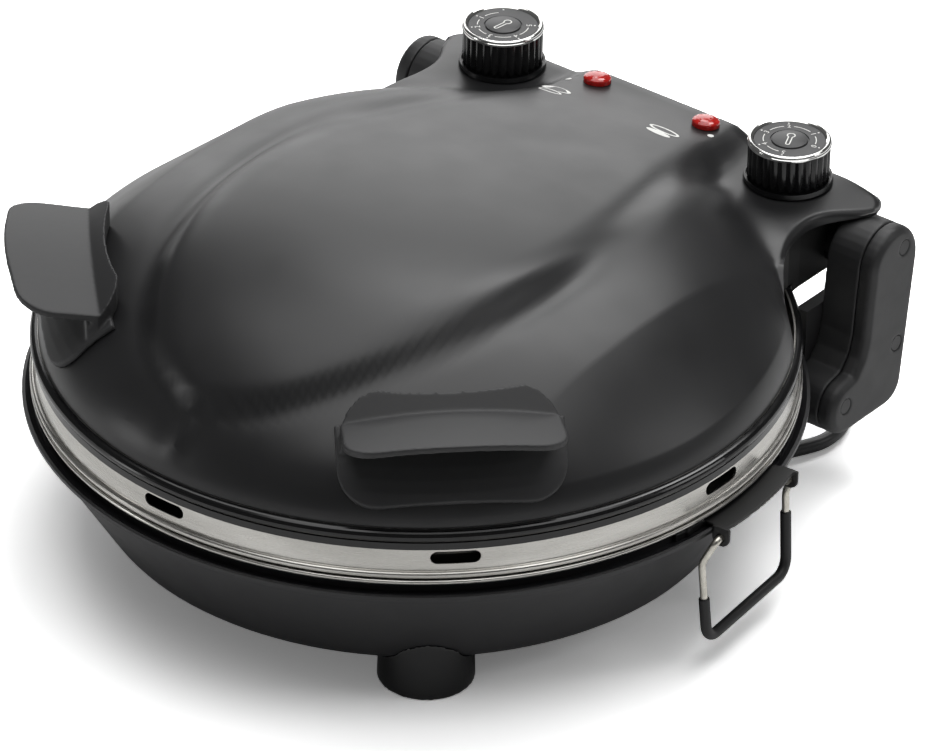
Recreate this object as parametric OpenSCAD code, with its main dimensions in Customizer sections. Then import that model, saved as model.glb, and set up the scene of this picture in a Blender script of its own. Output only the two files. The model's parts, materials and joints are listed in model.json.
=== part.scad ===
// Electric pizza maker: a round stone oven with a hinged dome lid.
// All sizes are millimetres. The bowl's axis is vertical and the feet stand on z = 0.
// The front is towards -Y and the hinge towards +Y.

/* [Base] */
// Radius of the rolled lip of the bowl
lip_r = 170.5; // [169.5:0.5:172]
// Height of the steel trim ring's middle, where base and lid part
part_z = 73; // [72:0.5:76]
// Height of the bowl's flat bottom
bowl_z = 14; // [12:0.5:16]
// Thickness of the pressed sheet of the bowl
bowl_wall = 1.5; // [1.2:0.1:1.8]
// Distance from the axis to the middle of each foot
foot_place_r = 125.5; // [122:0.5:127]
// Radius of a foot at its bottom
foot_r = 20.8; // [18:0.2:22]
// Thickness of the rubber ring pressed into a foot's bottom
foot_pad_t = 1.6; // [1:0.1:2.4]

/* [Oven] */
// Radius of the baking stone
stone_r = 152.5; // [145:0.5:153]
// Thickness of the baking stone
stone_t = 10; // [8:0.5:10.5]
// Radius of the lower heating ring
low_ring_r = 105; // [95:1:120]
// Radius of the upper heating ring
top_ring_r = 96; // [85:1:100]
// Radius of the heating tube
tube_r = 3.2; // [2.8:0.1:3.5]

/* [Lid] */
// Height of the side lobes over the dome's rim
lobe_h = 60; // [56:1:64]
// Height of the raised middle over the dome's rim
crown_h = 69.5; // [66:0.5:74]
// Drop of the raised middle from its crown to the rear edge
crown_drop = 37; // [33:0.5:40]
// Half width of the raised middle where it is widest
petal_w = 80.5; // [76:0.5:84]
// Half width of the raised middle at the rear edge
petal_rear_w = 44; // [42:0.5:48]
// Width of the crease beside the raised middle
crease_w = 15; // [12:1:20]
// Height of the housing's shoulders above the parting line
shoulder_h = 55; // [54.5:0.1:56]
// Thickness of the lid's shell
shell_t = 1.6; // [1.2:0.1:2]
// Length of a vent slot
slot_l = 21; // [14:1:24]
// Height of a vent slot
slot_h = 6; // [4:0.5:7]
// Number of vent slots
slot_count = 8; // [4:1:12]

/* [Hinge] */
// Height of the hinge pins above the parting line
pivot_h = 30.5; // [30:0.1:30.8]
// Radius of the arm's upper end
boss_r = 17; // [15.5:0.1:17.2]
// Inner face of an arm, measured from the middle plane
arm_in_x = 110.5; // [110.2:0.1:111.5]
// Thickness of an arm without its cover
arm_t = 17.5; // [16:0.1:19]
// Thickness of the cover of an arm
cover_t = 8; // [7:0.1:9]
// Radius of the hinge pin
pin_r = 4; // [3:0.1:5]

/* [Handles] */
// Width of a lid handle's pad
pad_w = 95; // [88:1:100]
// Width of a lid handle's finger lip
grip_w = 92; // [86:1:96]
// Distance from the axis to the middle of the finger lip's edge
grip_r = 176.3; // [173:0.1:178]
// Thickness of the finger lip
grip_t = 3; // [2.4:0.1:4]

/* [Knobs] */
// Distance of each knob from the middle plane
knob_x = 80.2; // [78:0.1:82]
// Radius of a knob
knob_r = 18.5; // [17:0.1:19.5]
// Height of a knob
knob_h = 20; // [18:0.1:24]
// Number of flutes round a knob
flute_count = 28; // [18:1:36]
// Distance of each pilot lamp from the middle plane
lamp_x = 30.4; // [28:0.1:34]
// Radius of a pilot lamp's lens
lamp_r = 6.3; // [5.8:0.1:7]

/* [Bails] */
// Turn of each bail bracket towards the rear, in degrees
bail_turn = 5.5; // [0:0.5:8]
// Distance between the two ears of a bracket
ear_gap = 53.5; // [50:0.5:60]
// Drop of the wire from its pivot to the grip
bail_drop = 50; // [46:1:52]
// Radius of the bail's wire
wire_r = 1.6; // [1.4:0.1:1.9]
// Radius of the sleeve on the wire
sleeve_r = 2.4; // [2.3:0.1:3]

/* [Cord] */
// Radius of the mains cord
cord_r = 3.4; // [3:0.1:3.4]
// Number of loops in the coil of spare cord
loop_count = 4; // [4:4:4]
// Outer radius of the coil's middle line
coil_r = 45; // [45:0.5:47]
// Step between neighbouring loops
loop_step = 7.6; // [7.4:0.1:7.8]

/* [Hidden] */

$fn = 96;
EPS = 0.01;
RUN_FIT = 0.06;     // radial clearance of a shaft that turns in its hole
FREE_GAP = 0.3;     // gap kept between neighbouring curved faces
SEAT_GAP = 0.1;     // gap under a bracket that is riveted on
THROUGH = 1;        // how far a cutting solid runs past the face that it cuts

// Radii and distances that follow the bowl's lip.
bowl_flat_r = lip_r - 39.5;
bead_r = lip_r - 3.5;       // the two steel beads at the parting line
lid_r = bead_r - 4;         // the dome at its rim
bail_r = lip_r + 1.5;       // pivot line of the bails
pivot_y = lip_r - 6.5;      // hinge pins
rear_y = pivot_y + 15;      // rear wall of the housing
knob_y = pivot_y - 6.3;
lamp_y = pivot_y - 0.7;

// The outline's middle stands over the origin, so the bowl's axis lies a little in front of it.
axis_y = -(pivot_y + boss_r - lip_r) / 2;

pivot_z = part_z + pivot_h;
bead_t = 2.2;
trim_top_z = part_z + 0.8;
trim_low_z = trim_top_z - bead_t;
lid_low_z = trim_top_z + 0.7;
band_low_z = lid_low_z + 3.2;
band_top_z = part_z + 15;
band_r = bead_r - 2;
rim_top_z = part_z + 24;
liner_t = 1;

function lerp(a, b, t) = a + (b - a) * t;
function clamp01(t) = min(1, max(0, t));
function smooth01(t) = let (c = clamp01(t)) c * c * (3 - 2 * c);
function soft_max(a, b, k) = (a + b + sqrt((a - b) * (a - b) + k * k)) / 2;
function soft_min(a, b, k) = (a + b - sqrt((a - b) * (a - b) + k * k)) / 2;
function arc(cx, cy, r, from, to, steps) = [
    for (i = [0 : steps]) let (a = lerp(from, to, i / steps)) [cx + r * cos(a), cy + r * sin(a)]
];
function bezier(p, t) = pow(1 - t, 3) * p[0] + 3 * t * pow(1 - t, 2) * p[1]
    + 3 * t * t * (1 - t) * p[2] + pow(t, 3) * p[3];
function unit(v) = v / norm(v);
// A closed outline drawn anticlockwise, moved inwards by d.
function inset(points, d) = let (n = len(points)) [
    for (i = [0 : n - 1])
        let (along = unit(points[(i + 1) % n] - points[(i + n - 1) % n]))
        points[i] + d * [-along[1], along[0]]
];

// A tube swept along points. Each ring stands square to the path, and its first point lies
// square to the axis named side_axis, which the path never follows.
function path_dir(p, i) = unit(p[min(len(p) - 1, i + 1)] - p[max(0, i - 1)]);
function ring_at(p, i, r, sides, side_axis) = let (
    d = path_dir(p, i),
    flat = unit(cross(side_axis, d)),
    over = cross(d, flat)
) [for (k = [0 : sides - 1]) p[i] + r * (cos(360 * k / sides) * flat + sin(360 * k / sides) * over)];
module tube(p, r, sides, side_axis = [0, 0, 1]) {
    n = len(p);
    points = [for (i = [0 : n - 1]) each ring_at(p, i, r, sides, side_axis)];
    faces = concat(
        [[for (k = [0 : sides - 1]) k]],
        [for (i = [0 : n - 2], k = [0 : sides - 1]) let (
            a = i * sides + k, b = i * sides + (k + 1) % sides, c = a + sides, d = b + sides
        ) each [[a, c, d], [a, d, b]]],
        [[for (k = [sides - 1 : -1 : 0]) (n - 1) * sides + k]]
    );
    polyhedron(points = points, faces = faces);
}

module place() {
    translate([0, axis_y, 0]) children();
}
module left_copy() {
    mirror([1, 0, 0]) children();
}
module at_feet(turns) {
    for (a = turns) rotate([0, 0, a]) translate([foot_place_r, 0, 0]) children();
}
// A disc or ring whose axis runs along X, from x to x + length.
module x_rod(x, y, z, r, length) {
    translate([x, y, z]) rotate([0, 90, 0]) cylinder(r = r, h = length);
}

// ---------------------------------------------------------------- base

bowl_slope_low = [bowl_flat_r + 9.8, bowl_z + 6.3];
bowl_slope_top = [lip_r - 4.3, part_z - 11];
lip_z = part_z - 5;
trough_z = lip_z - 1.6;
upstand_r = bead_r - 3.4;
flange_in_r = upstand_r - 7.6;
function bowl_outside() = concat(
    [[0, bowl_z]],
    arc(bowl_flat_r, bowl_z + 11, 11, -90, -32, 5),
    [bowl_slope_top, [lip_r - 2.7, lip_z - 3], [lip_r, lip_z - 1.6], [lip_r, lip_z]]
);
module bowl_solid(grow) {
    rotate_extrude() polygon(concat(
        [for (p = bowl_outside()) [p[0] == 0 ? 0 : p[0] + grow, p[1] - grow]],
        [[0, lip_z]]
    ));
}
foot_turns = [-48.4, 71.6, -168];
foot_screw_r = 2;
gland_turn = 54;
gland_z = bowl_z + 6.5;
gland_lean = 31.5;
gland_r = 4.4;
// Radius of the bowl's sloping outside at height z.
function slope_r(z) = lerp(bowl_slope_low[0], bowl_slope_top[0],
    (z - bowl_slope_low[1]) / (bowl_slope_top[1] - bowl_slope_low[1]));
module at_gland() {
    rotate([0, 0, gland_turn]) translate([slope_r(gland_z), 0, gland_z])
        rotate([0, 90 + gland_lean, 0]) children();
}
module base_bowl() {
    color([0.07, 0.07, 0.075]) difference() {
        rotate_extrude() polygon(concat(
            bowl_outside(),
            [[lip_r - 1.4, lip_z + 0.3], [lip_r - 4.3, trough_z], [upstand_r, trough_z],
             [upstand_r, trim_low_z], [flange_in_r, trim_low_z],
             [flange_in_r, trim_low_z - bowl_wall], [upstand_r - bowl_wall, trim_low_z - bowl_wall],
             [upstand_r - bowl_wall, trough_z - bowl_wall],
             bowl_slope_top - [bowl_wall * 1.2, 0]],
            [for (i = [5 : -1 : 0]) arc(bowl_flat_r, bowl_z + 11, 11 - bowl_wall, -90, -32, 5)[i]],
            [[0, bowl_z + bowl_wall]]
        ));
        at_feet(foot_turns) translate([0, 0, bowl_z - THROUGH])
            cylinder(r = foot_screw_r + 0.2, h = bowl_wall + 2 * THROUGH);
        at_gland() translate([0, 0, -6]) cylinder(r = gland_r + 0.1, h = 10);
    }
}
module trim_ring() {
    color([0.8, 0.8, 0.79]) rotate_extrude() polygon(concat(
        [[flange_in_r + 2.4, trim_low_z]],
        [[bead_r - bead_t / 2, trim_low_z]],
        arc(bead_r - bead_t / 2, trim_low_z + bead_t / 2, bead_t / 2, -60, 60, 6),
        [[bead_r - bead_t / 2, trim_top_z], [flange_in_r + 2.4, trim_top_z]]
    ));
}
stone_low_z = trim_top_z - 3.4 - stone_t;
ledge_r = stone_r - 6.5;
liner_low_z = 35;
module base_liner() {
    wall_r = flange_in_r - 1.5;
    color([0.62, 0.63, 0.64]) difference() {
        rotate_extrude() polygon([
            [0, liner_low_z], [ledge_r, liner_low_z], [ledge_r, stone_low_z - liner_t],
            [wall_r, stone_low_z - liner_t], [wall_r, trim_low_z], [flange_in_r + 2, trim_low_z],
            [flange_in_r + 2, trim_low_z + liner_t], [wall_r - liner_t, trim_low_z + liner_t],
            [wall_r - liner_t, stone_low_z], [ledge_r - liner_t, stone_low_z],
            [ledge_r - liner_t, liner_low_z + liner_t], [0, liner_low_z + liner_t]
        ]);
        for (s = [-1, 1]) translate([s * leg_x(low_ring_r), leg_y(low_ring_r), liner_low_z - THROUGH])
            cylinder(r = bush_r + 0.1, h = liner_t + 2 * THROUGH);
    }
}
module baking_stone() {
    edge = 1.5;
    color([0.78, 0.72, 0.62]) rotate_extrude() polygon([
        [0, stone_low_z], [stone_r - edge, stone_low_z], [stone_r, stone_low_z + edge],
        [stone_r, stone_low_z + stone_t - edge], [stone_r - edge, stone_low_z + stone_t],
        [0, stone_low_z + stone_t]
    ]);
}

// A heating ring open at the rear, with two legs that turn out of its plane.
ring_end_x = 26;
elbow_r = 8;
bush_r = 6;
function ring_open(ring_r) = asin(ring_end_x / ring_r);
function leg_x(ring_r) = ring_end_x - elbow_r * cos(ring_open(ring_r));
function leg_y(ring_r) = (ring_r + elbow_r * tan(ring_open(ring_r))) * cos(ring_open(ring_r));
low_ring_z = 47;
top_ring_z = part_z + 33;
module heating_ring(ring_r, ring_z, leg_end_z) {
    open = ring_open(ring_r);
    translate([0, 0, ring_z]) {
        rotate([0, 0, 90 + open]) rotate_extrude(angle = 360 - 2 * open)
            translate([ring_r, 0]) circle(r = tube_r);
        for (side = [0, 1]) mirror([side, 0, 0]) mirror([0, 0, leg_end_z > ring_z ? 0 : 1])
            rotate([0, 0, 90 - open]) translate([ring_r, 0, 0]) {
                translate([0, 0, elbow_r]) rotate([90, 0, 90]) rotate([0, 0, -90])
                    rotate_extrude(angle = 90) translate([elbow_r, 0]) circle(r = tube_r);
                translate([0, elbow_r, elbow_r])
                    cylinder(r = tube_r, h = abs(leg_end_z - ring_z) - elbow_r);
            }
    }
}
// Three sheet clips: a foot plate, a post and a saddle that carries the tube.
clip_turns = [-90, 20, 160];
module ring_clips(ring_r, from_z, to_z) {
    clip_w = 10;
    post = 1.6;
    up = to_z > from_z ? 1 : -1;
    for (a = clip_turns) rotate([0, 0, a]) translate([ring_r, 0, 0]) {
        translate([-tube_r - 8, -clip_w / 2, min(from_z, from_z + up * post)])
            cube([16 + 2 * tube_r, clip_w, post]);
        translate([tube_r + FREE_GAP, -clip_w / 2, min(from_z, to_z + up * tube_r)])
            cube([post, clip_w, abs(to_z + up * tube_r - from_z)]);
        translate([-tube_r - post, -clip_w / 2, min(from_z + post, to_z - up * (tube_r + FREE_GAP + post))])
            cube([2 * tube_r + post + FREE_GAP + EPS, clip_w, post]);
    }
}
module lower_element() {
    color([0.35, 0.34, 0.33]) heating_ring(low_ring_r, low_ring_z, bowl_z + 9);
}
module lower_clips() {
    color([0.7, 0.7, 0.7]) ring_clips(low_ring_r, liner_low_z + liner_t, low_ring_z);
}
module bushes(ring_r, sheet_z, head_up) {
    for (s = [-1, 1]) translate([s * leg_x(ring_r), leg_y(ring_r), sheet_z]) difference() {
        union() {
            translate([0, 0, -4]) cylinder(r = bush_r, h = 8 + liner_t);
            translate([0, 0, head_up ? liner_t : -4]) cylinder(r = bush_r + 2.5, h = 4);
        }
        translate([0, 0, -10]) cylinder(r = tube_r + 0.1, h = 24);
    }
}
module lower_bushes() {
    color([0.93, 0.91, 0.86]) bushes(low_ring_r, liner_low_z, true);
}
module terminal_block() {
    color([0.9, 0.89, 0.85]) difference() {
        translate([-30, 76, bowl_z + bowl_wall]) cube([60, 16, 12]);
        for (x = [-20, -7, 7, 20]) translate([x, 84, bowl_z + bowl_wall + 4]) cylinder(r = 2.4, h = 10);
    }
}
module foot(turn) {
    top_z = bowl_z + 16;
    color([0.06, 0.06, 0.065]) difference() {
        at_feet([turn]) difference() {
            cylinder(r1 = foot_r, r2 = foot_r - 0.8, h = top_z);
            translate([0, 0, -THROUGH]) cylinder(r = foot_screw_r + 0.2, h = top_z + THROUGH);
            translate([0, 0, -THROUGH]) cylinder(r = 5, h = 6 + THROUGH);
            translate([0, 0, -THROUGH]) pad_ring(0.1, foot_pad_t + THROUGH);
        }
        bowl_solid(EPS);
    }
}
module pad_ring(gap, h) {
    difference() {
        cylinder(r = foot_r - 3 + gap, h = h);
        translate([0, 0, -THROUGH]) cylinder(r = 8 - gap, h = h + 2 * THROUGH);
    }
}
module foot_pads() {
    color([0.1, 0.1, 0.1]) at_feet(foot_turns) pad_ring(0, foot_pad_t);
}
bracket_bolt = [99, 130.5, 43];
module base_screws() {
    color([0.6, 0.6, 0.6]) {
        at_feet(foot_turns) {
            translate([0, 0, 3]) cylinder(r = 4.4, h = 3);
            translate([0, 0, 6 - EPS]) cylinder(r = foot_screw_r, h = bowl_z - 1);
            translate([0, 0, bowl_z + bowl_wall]) cylinder(r = 4, h = 3, $fn = 6);
        }
    }
}

// ---------------------------------------------------------------- hinge

arm_low_y = pivot_y - 30.5;
arm_low_z = part_z - 29;
arm_low_r = 13;
heel_r = 12;
heel_y = pivot_y - 2;
heel_z = arm_low_z - arm_low_r + heel_r;
// The arm seen from the side, anticlockwise in (y, z): upper end, front edge, lower end, heel.
arm_outline = concat(
    arc(pivot_y, pivot_z, boss_r, -5, 185, 16),
    [[pivot_y - 18.2, pivot_z - 13], [pivot_y - 19.6, pivot_z - 31], [pivot_y - 22, pivot_z - 39],
     [pivot_y - 27, arm_low_z + arm_low_r + 1]],
    arc(arm_low_y, arm_low_z, arm_low_r, 100, 270, 12),
    arc(heel_y, heel_z, heel_r, 270, 352, 7)
);
// The arm's outline as a plate in the YZ plane, from x to x + thickness, drawn smaller by edge.
module arm_plate(x, thickness, edge) {
    translate([x, 0, 0]) rotate([90, 0, 90]) linear_extrude(thickness)
        polygon(edge > 0 ? inset(arm_outline, edge) : arm_outline);
}
plug_r = 3.5;
plug_places = [[pivot_y + 5.5, pivot_z + 6], [pivot_y + 3.5, pivot_z - 42], [arm_low_y - 2.5, arm_low_z + 2]];
cover_x = arm_in_x + arm_t;
module arm_body() {
    color([0.09, 0.09, 0.095]) difference() {
        arm_plate(arm_in_x, arm_t - FREE_GAP, 0);
        x_rod(arm_in_x - THROUGH, pivot_y, pivot_z, pin_r + RUN_FIT, arm_t + 2 * THROUGH);
        for (p = plug_places) x_rod(arm_in_x + arm_t / 2, p[0], p[1], 1.6, arm_t);
        x_rod(arm_in_x - THROUGH, bracket_bolt[1] + 8, bracket_bolt[2], 2.2, arm_t + 2 * THROUGH);
        x_rod(arm_in_x - THROUGH, bracket_bolt[1] + 30, bracket_bolt[2], 2.2, arm_t + 2 * THROUGH);
        translate([arm_in_x + 4, pivot_y - 13, arm_low_z + 12]) cube([arm_t, 20, 32]);
    }
}
module arm_cover() {
    round_edge = [
        [0, cover_t - 3.2, 0], [cover_t - 3.2, 1.4, 0.5], [cover_t - 1.8, 1, 1.3], [cover_t - 0.8, 0.8, 2.6]
    ];
    color([0.11, 0.11, 0.115]) difference() {
        union() for (e = round_edge) arm_plate(cover_x + e[0], e[1], e[2]);
        for (p = plug_places) {
            x_rod(cover_x + cover_t - 3, p[0], p[1], plug_r + 0.15, 4);
            x_rod(cover_x - THROUGH, p[0], p[1], 2, cover_t + THROUGH);
        }
    }
}
module arm_plugs() {
    color([0.13, 0.13, 0.135]) for (side = [0, 1]) mirror([side, 0, 0])
        for (p = plug_places) x_rod(cover_x + cover_t - 3, p[0], p[1], plug_r, 2.6);
}
module arm_screws() {
    color([0.6, 0.6, 0.6]) for (side = [0, 1]) mirror([side, 0, 0]) {
        for (p = plug_places) x_rod(cover_x - 6, p[0], p[1], 1.5, cover_t + 3 - EPS);
        for (dy = [8, 30]) {
            x_rod(arm_in_x - 6, bracket_bolt[1] + dy, bracket_bolt[2], 2.1, arm_t + 5);
            x_rod(arm_in_x - 9, bracket_bolt[1] + dy, bracket_bolt[2], 4.2, 3);
        }
    }
}
pin_in_x = arm_in_x - 13.5;
module hinge_pins() {
    color([0.7, 0.7, 0.72]) for (side = [0, 1]) mirror([side, 0, 0]) {
        x_rod(pin_in_x, pivot_y, pivot_z, pin_r, cover_x - pin_in_x - 1);
        x_rod(pin_in_x - 2, pivot_y, pivot_z, pin_r + 2.5, 2 + EPS);
    }
}
// A folded steel bracket: an upright plate bolted to the arm and a foot that meets the bowl.
bracket_t = 6;
upright_y = lip_r - 36.5;
module hinge_bracket() {
    plate_x = arm_in_x - bracket_t;
    color([0.13, 0.13, 0.13]) difference() {
        union() {
            translate([plate_x, 92, arm_low_z - 9]) cube([bracket_t, 76, 22]);
            translate([78, 92, arm_low_z - 9]) cube([plate_x - 78 + EPS, 42, 22]);
            translate([plate_x, upright_y, arm_low_z + 13 - EPS])
                cube([bracket_t, 168 - upright_y, pivot_z - 20.5 - arm_low_z - 13 + EPS]);
        }
        bowl_solid(EPS);
        for (dy = [8, 30]) {
            x_rod(plate_x - THROUGH, bracket_bolt[1] + dy, bracket_bolt[2], 2.2, bracket_t + 2 * THROUGH);
            x_rod(plate_x - 20, bracket_bolt[1] + dy, bracket_bolt[2], 4.5, 20 + 3.1);
        }
    }
}

// ---------------------------------------------------------------- bails

ear_t = 1.6;
plate_z = lip_z + 2;
pivot_drop = 5;
bail_z = plate_z - pivot_drop;
bracket_out_r = bail_r + 4.5;
bracket_in_r = bead_r - 3.2;
module at_bail() {
    rotate([0, 0, bail_turn]) children();
}
module bail_bracket() {
    half = ear_gap / 2 + ear_t;
    spread = asin(half / bracket_out_r);
    color([0.08, 0.08, 0.08]) at_bail() difference() {
        union() {
            difference() {
                union() {
                    // top plate, curved with the rim
                    translate([0, 0, plate_z - ear_t]) linear_extrude(ear_t) polygon(concat(
                        arc(0, 0, bracket_out_r, -spread, spread, 12),
                        arc(0, 0, bracket_in_r, spread, -spread, 12)
                    ));
                    // ears turned down at both ends
                    for (s = [-1, 1]) translate([0, s * (ear_gap / 2 + ear_t / 2), 0]) {
                        translate([bail_r, ear_t / 2, bail_z]) rotate([90, 0, 0]) cylinder(r = 4.2, h = ear_t);
                        translate([bail_r - 4.2, -ear_t / 2, bail_z]) cube([8.4, ear_t, pivot_drop - EPS]);
                    }
                }
                translate([0, 0, FREE_GAP + SEAT_GAP]) bowl_solid(SEAT_GAP);
            }
            // strap along the rim with a riveted tab at each end
            translate([0, 0, trough_z + SEAT_GAP])
                linear_extrude(plate_z - trough_z - SEAT_GAP) polygon(concat(
                arc(0, 0, upstand_r + ear_t, -spread - 6, spread + 6, 16),
                arc(0, 0, upstand_r + SEAT_GAP, spread + 6, -spread - 6, 16)
            ));
        }
        for (s = [-1, 1]) translate([bail_r, s * ear_gap / 2 + 4, bail_z]) rotate([90, 0, 0])
            cylinder(r = wire_r + RUN_FIT, h = 8);
    }
}
module bail_rivets() {
    spread = asin((ear_gap / 2 + ear_t) / bracket_out_r) + 3.4;
    color([0.1, 0.1, 0.1]) for (side = [0, 1]) mirror([side, 0, 0]) at_bail()
        for (s = [-1, 1]) rotate([0, 0, s * spread]) translate([upstand_r + ear_t, 0, trough_z + 2.2])
            rotate([0, 90, 0]) cylinder(r1 = 2, r2 = 1.4, h = 1);
}
// Corner points of half a bail, from its pivot down to the grip: [out, along, down, bend radius].
pin_in = ear_gap / 2 - 2;
pin_out = ear_gap / 2 + ear_t + 0.5;
leg_out = pin_out + 2.6;
bail_half = [
    [0, pin_out - 1, 0, 0], [0, leg_out, 0, 3],
    [-5.2, leg_out + 2.5, 11.5, 9], [-2.2, leg_out + 0.8, bail_drop, 7.5]
];
function bail_point(i, s) = [bail_r + bail_half[i][0], s * bail_half[i][1], bail_z - bail_half[i][2]];
bail_corners = concat([for (i = [0 : 3]) bail_point(i, -1)], [for (i = [3 : -1 : 0]) bail_point(i, 1)]);
bail_bends = [for (i = [0, 1, 2, 3, 3, 2, 1, 0]) bail_half[i][3]];
// The path through corners p, with an arc of the given radius at each inner corner.
function bent(p, bends, steps) = [for (i = [0 : len(p) - 1]) each i == 0 || i == len(p) - 1 ? [p[i]] : let (
    a = unit(p[i] - p[i - 1]),
    b = unit(p[i + 1] - p[i]),
    turn = acos(a * b),
    out = cross(a, unit(cross(a, b))),
    middle = p[i] - bends[i] * (tan(turn / 2) * a + out)
) [for (k = [0 : steps]) middle + bends[i] * (cos(turn * k / steps) * out + sin(turn * k / steps) * a)]];
bail_sides = 12;
module bail_wire() {
    color([0.8, 0.8, 0.78]) at_bail() {
        tube(bent(bail_corners, bail_bends, 4), wire_r - 0.02, bail_sides, [1, 0, 0]);
        for (s = [-1, 1]) translate([bail_r, s * pin_in, bail_z]) rotate([-s * 90, 0, 0])
            cylinder(r = wire_r, h = pin_out - pin_in);
    }
}
// The sleeve starts lower on the front leg than on the rear one.
sleeve_starts = [0.45, 0.25];
module bail_sleeve() {
    corners = concat(
        [lerp(bail_point(2, -1), bail_point(3, -1), sleeve_starts[0])],
        [bail_point(3, -1), bail_point(3, 1)],
        [lerp(bail_point(2, 1), bail_point(3, 1), sleeve_starts[1])]
    );
    bends = [for (i = [0, 3, 3, 0]) bail_half[i][3]];
    color([0.05, 0.05, 0.05]) at_bail() difference() {
        tube(bent(corners, bends, 4), sleeve_r, bail_sides, [1, 0, 0]);
        tube(bent(bail_corners, bail_bends, 4), wire_r + 0.05, bail_sides, [1, 0, 0]);
    }
}

// ---------------------------------------------------------------- lid shell

rim_h = rim_top_z - part_z;
notch_from = 31;
corner_r = 11;
shoulder_x = 121;
neck_x = 107;
neck_y = 136;
shoulder_under = pivot_h + boss_r + 0.9;
side_edge = 2.6;
rear_edge = 8;
function notch_front(t) = bezier([
    lid_r * [cos(notch_from), sin(notch_from)], [124, 94], [neck_x, 112], [neck_x, neck_y]
], t);
function neck_curve(t) = bezier([
    [neck_x, neck_y], [neck_x, neck_y + 14], [shoulder_x - 4, rear_y - 23], [shoulder_x, rear_y - corner_r]
], t);
// The right half of the lid's outline from the front to the rear: [x, y, lower edge, edge rounding].
half_outline = concat(
    [for (i = [0 : 24]) let (a = lerp(-90, notch_from, i / 24))
        [lid_r * cos(a), lid_r * sin(a), rim_h, 0]],
    [for (i = [1 : 8]) let (t = i / 8, p = notch_front(t))
        [p[0], p[1], lerp(rim_h, shoulder_under, clamp01(t * 2)), side_edge * smooth01(t * 2)]],
    [for (i = [1 : 6]) let (p = neck_curve(i / 6)) [p[0], p[1], shoulder_under, side_edge]],
    [for (i = [1 : 5]) let (a = 14 * i, k = smooth01(i / 5))
        [shoulder_x - corner_r * (1 - cos(a)), rear_y - corner_r * (1 - sin(a)),
         shoulder_under + 0.6, lerp(side_edge, 4, k)]],
    [[107.5, rear_y - 0.3, shoulder_under + 0.6, 4.5], [105.5, rear_y - 0.1, rim_h, 5]],
    [for (i = [1 : 6]) [lerp(104, 0, i / 6), rear_y, rim_h, lerp(5, rear_edge, smooth01(i / 2))]]
);
lid_outline = concat(
    half_outline,
    [for (i = [len(half_outline) - 2 : -1 : 1]) let (p = half_outline[i]) [-p[0], p[1], p[2], p[3]]]
);
// Height of the side lobes at radius r; the rise lifts them towards the rear.
function lobe(r, rise = 0) = rim_h + (lobe_h + rise) * pow(1 - pow(min(r, lid_r) / lid_r, 2.6), 0.588);
function rear_rise(y) = 8 * smooth01((y + 30) / 130);
function crown(r) = rim_h + crown_h * pow(1 - pow(min(r, lid_r) / lid_r, 2.8), 0.588);
function shoulder(x, y) = shoulder_h - 5.5 * pow(max(0, x - 90) / 31, 2)
    - 0.0096 * pow(max(0, 125 - y), 2) - 0.9 * max(0, x - 116) * clamp01((140 - y) / 30);
function petal(y) = y < -5
    ? petal_w * sqrt(max(0.0001, 1 - pow((y + 5) / 140, 2)))
    : lerp(petal_rear_w, petal_w, 0.5 + 0.5 * cos(min(180, 180 * (y + 5) / 200)));
crease_d = 1.2;
rear_ridge_h = shoulder_h + 5.5;
function ridge(x, y) = soft_max(rear_ridge_h,
    rim_h + crown_h - crown_drop * pow(max(0, (y + 40) / 220), 1.6) - 5 * pow(x / 80, 2), 3);
// Height of the lid's outer surface above the parting line.
function lid_surface(x, y) = let (
    r = norm([x, y]),
    side = soft_max(lobe(r, rear_rise(y)), shoulder(abs(x), y), 6),
    middle = soft_min(crown(norm([x, y > 0 ? y / 2 : y])), ridge(x, y), 4),
    across = abs(x) - petal(y),
    inside = smooth01(0.5 - across / crease_w),
    groove = crease_d * pow(max(0, 1 - pow(across / crease_w, 2)), 2)
) lerp(side, middle, inside) - groove * smooth01((lid_r - r) / 12);
function edge_drop(d, e) = d >= e || e < 0.1 ? 0 : e - sqrt(max(0, e * e - (e - d) * (e - d)));

// The shell's points lie in rows: the first follow the outline, the others run to the pole and
// are set closer together across the crease.
pole = [0, 110];
edge_rows = [0, 1.2, 2.5, 4];
last_edge = len(edge_rows) - 1;
outer_rows = 5;
crease_rows = 4;
inner_rows = 8;
least_run = 8;
shell_rows = last_edge + 1 + outer_rows + crease_rows + inner_rows;
n_edge = len(lid_outline);
function outline_xy(j) = let (p = lid_outline[(j + n_edge) % n_edge]) [p[0], p[1]];
function inner_normal(j, k) = let (d = outline_xy(j + k) - outline_xy(j - k)) unit([-d[1], d[0]]);
function soft_normal(j) = unit(inner_normal(j, 1) + inner_normal(j, 2) + inner_normal(j, 3));
function crease_gap(p) = abs(p[0]) - petal(p[1]);
function crossing(from, level, t = 0) = t > 0.9 || crease_gap(lerp(from, pole, t)) < level
    ? t : crossing(from, level, t + 0.01);
ring_starts = [for (j = [0 : n_edge - 1]) outline_xy(j) + edge_rows[last_edge] * soft_normal(j)];
crease_from = [for (q = ring_starts) max(least_run / norm(pole - q), crossing(q, crease_w / 2))];
crease_to = [for (j = [0 : n_edge - 1]) let (q = ring_starts[j])
    max(crease_from[j] + least_run / norm(pole - q), crossing(q, -crease_w / 2))];
function row_run(i, j) = let (k = i - last_edge)
    k <= 0 ? 0
    : k <= outer_rows ? crease_from[j] * k / outer_rows
    : k <= outer_rows + crease_rows
        ? lerp(crease_from[j], crease_to[j], (k - outer_rows) / crease_rows)
    : lerp(crease_to[j], 1, (k - outer_rows - crease_rows) / (inner_rows + 1));
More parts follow.
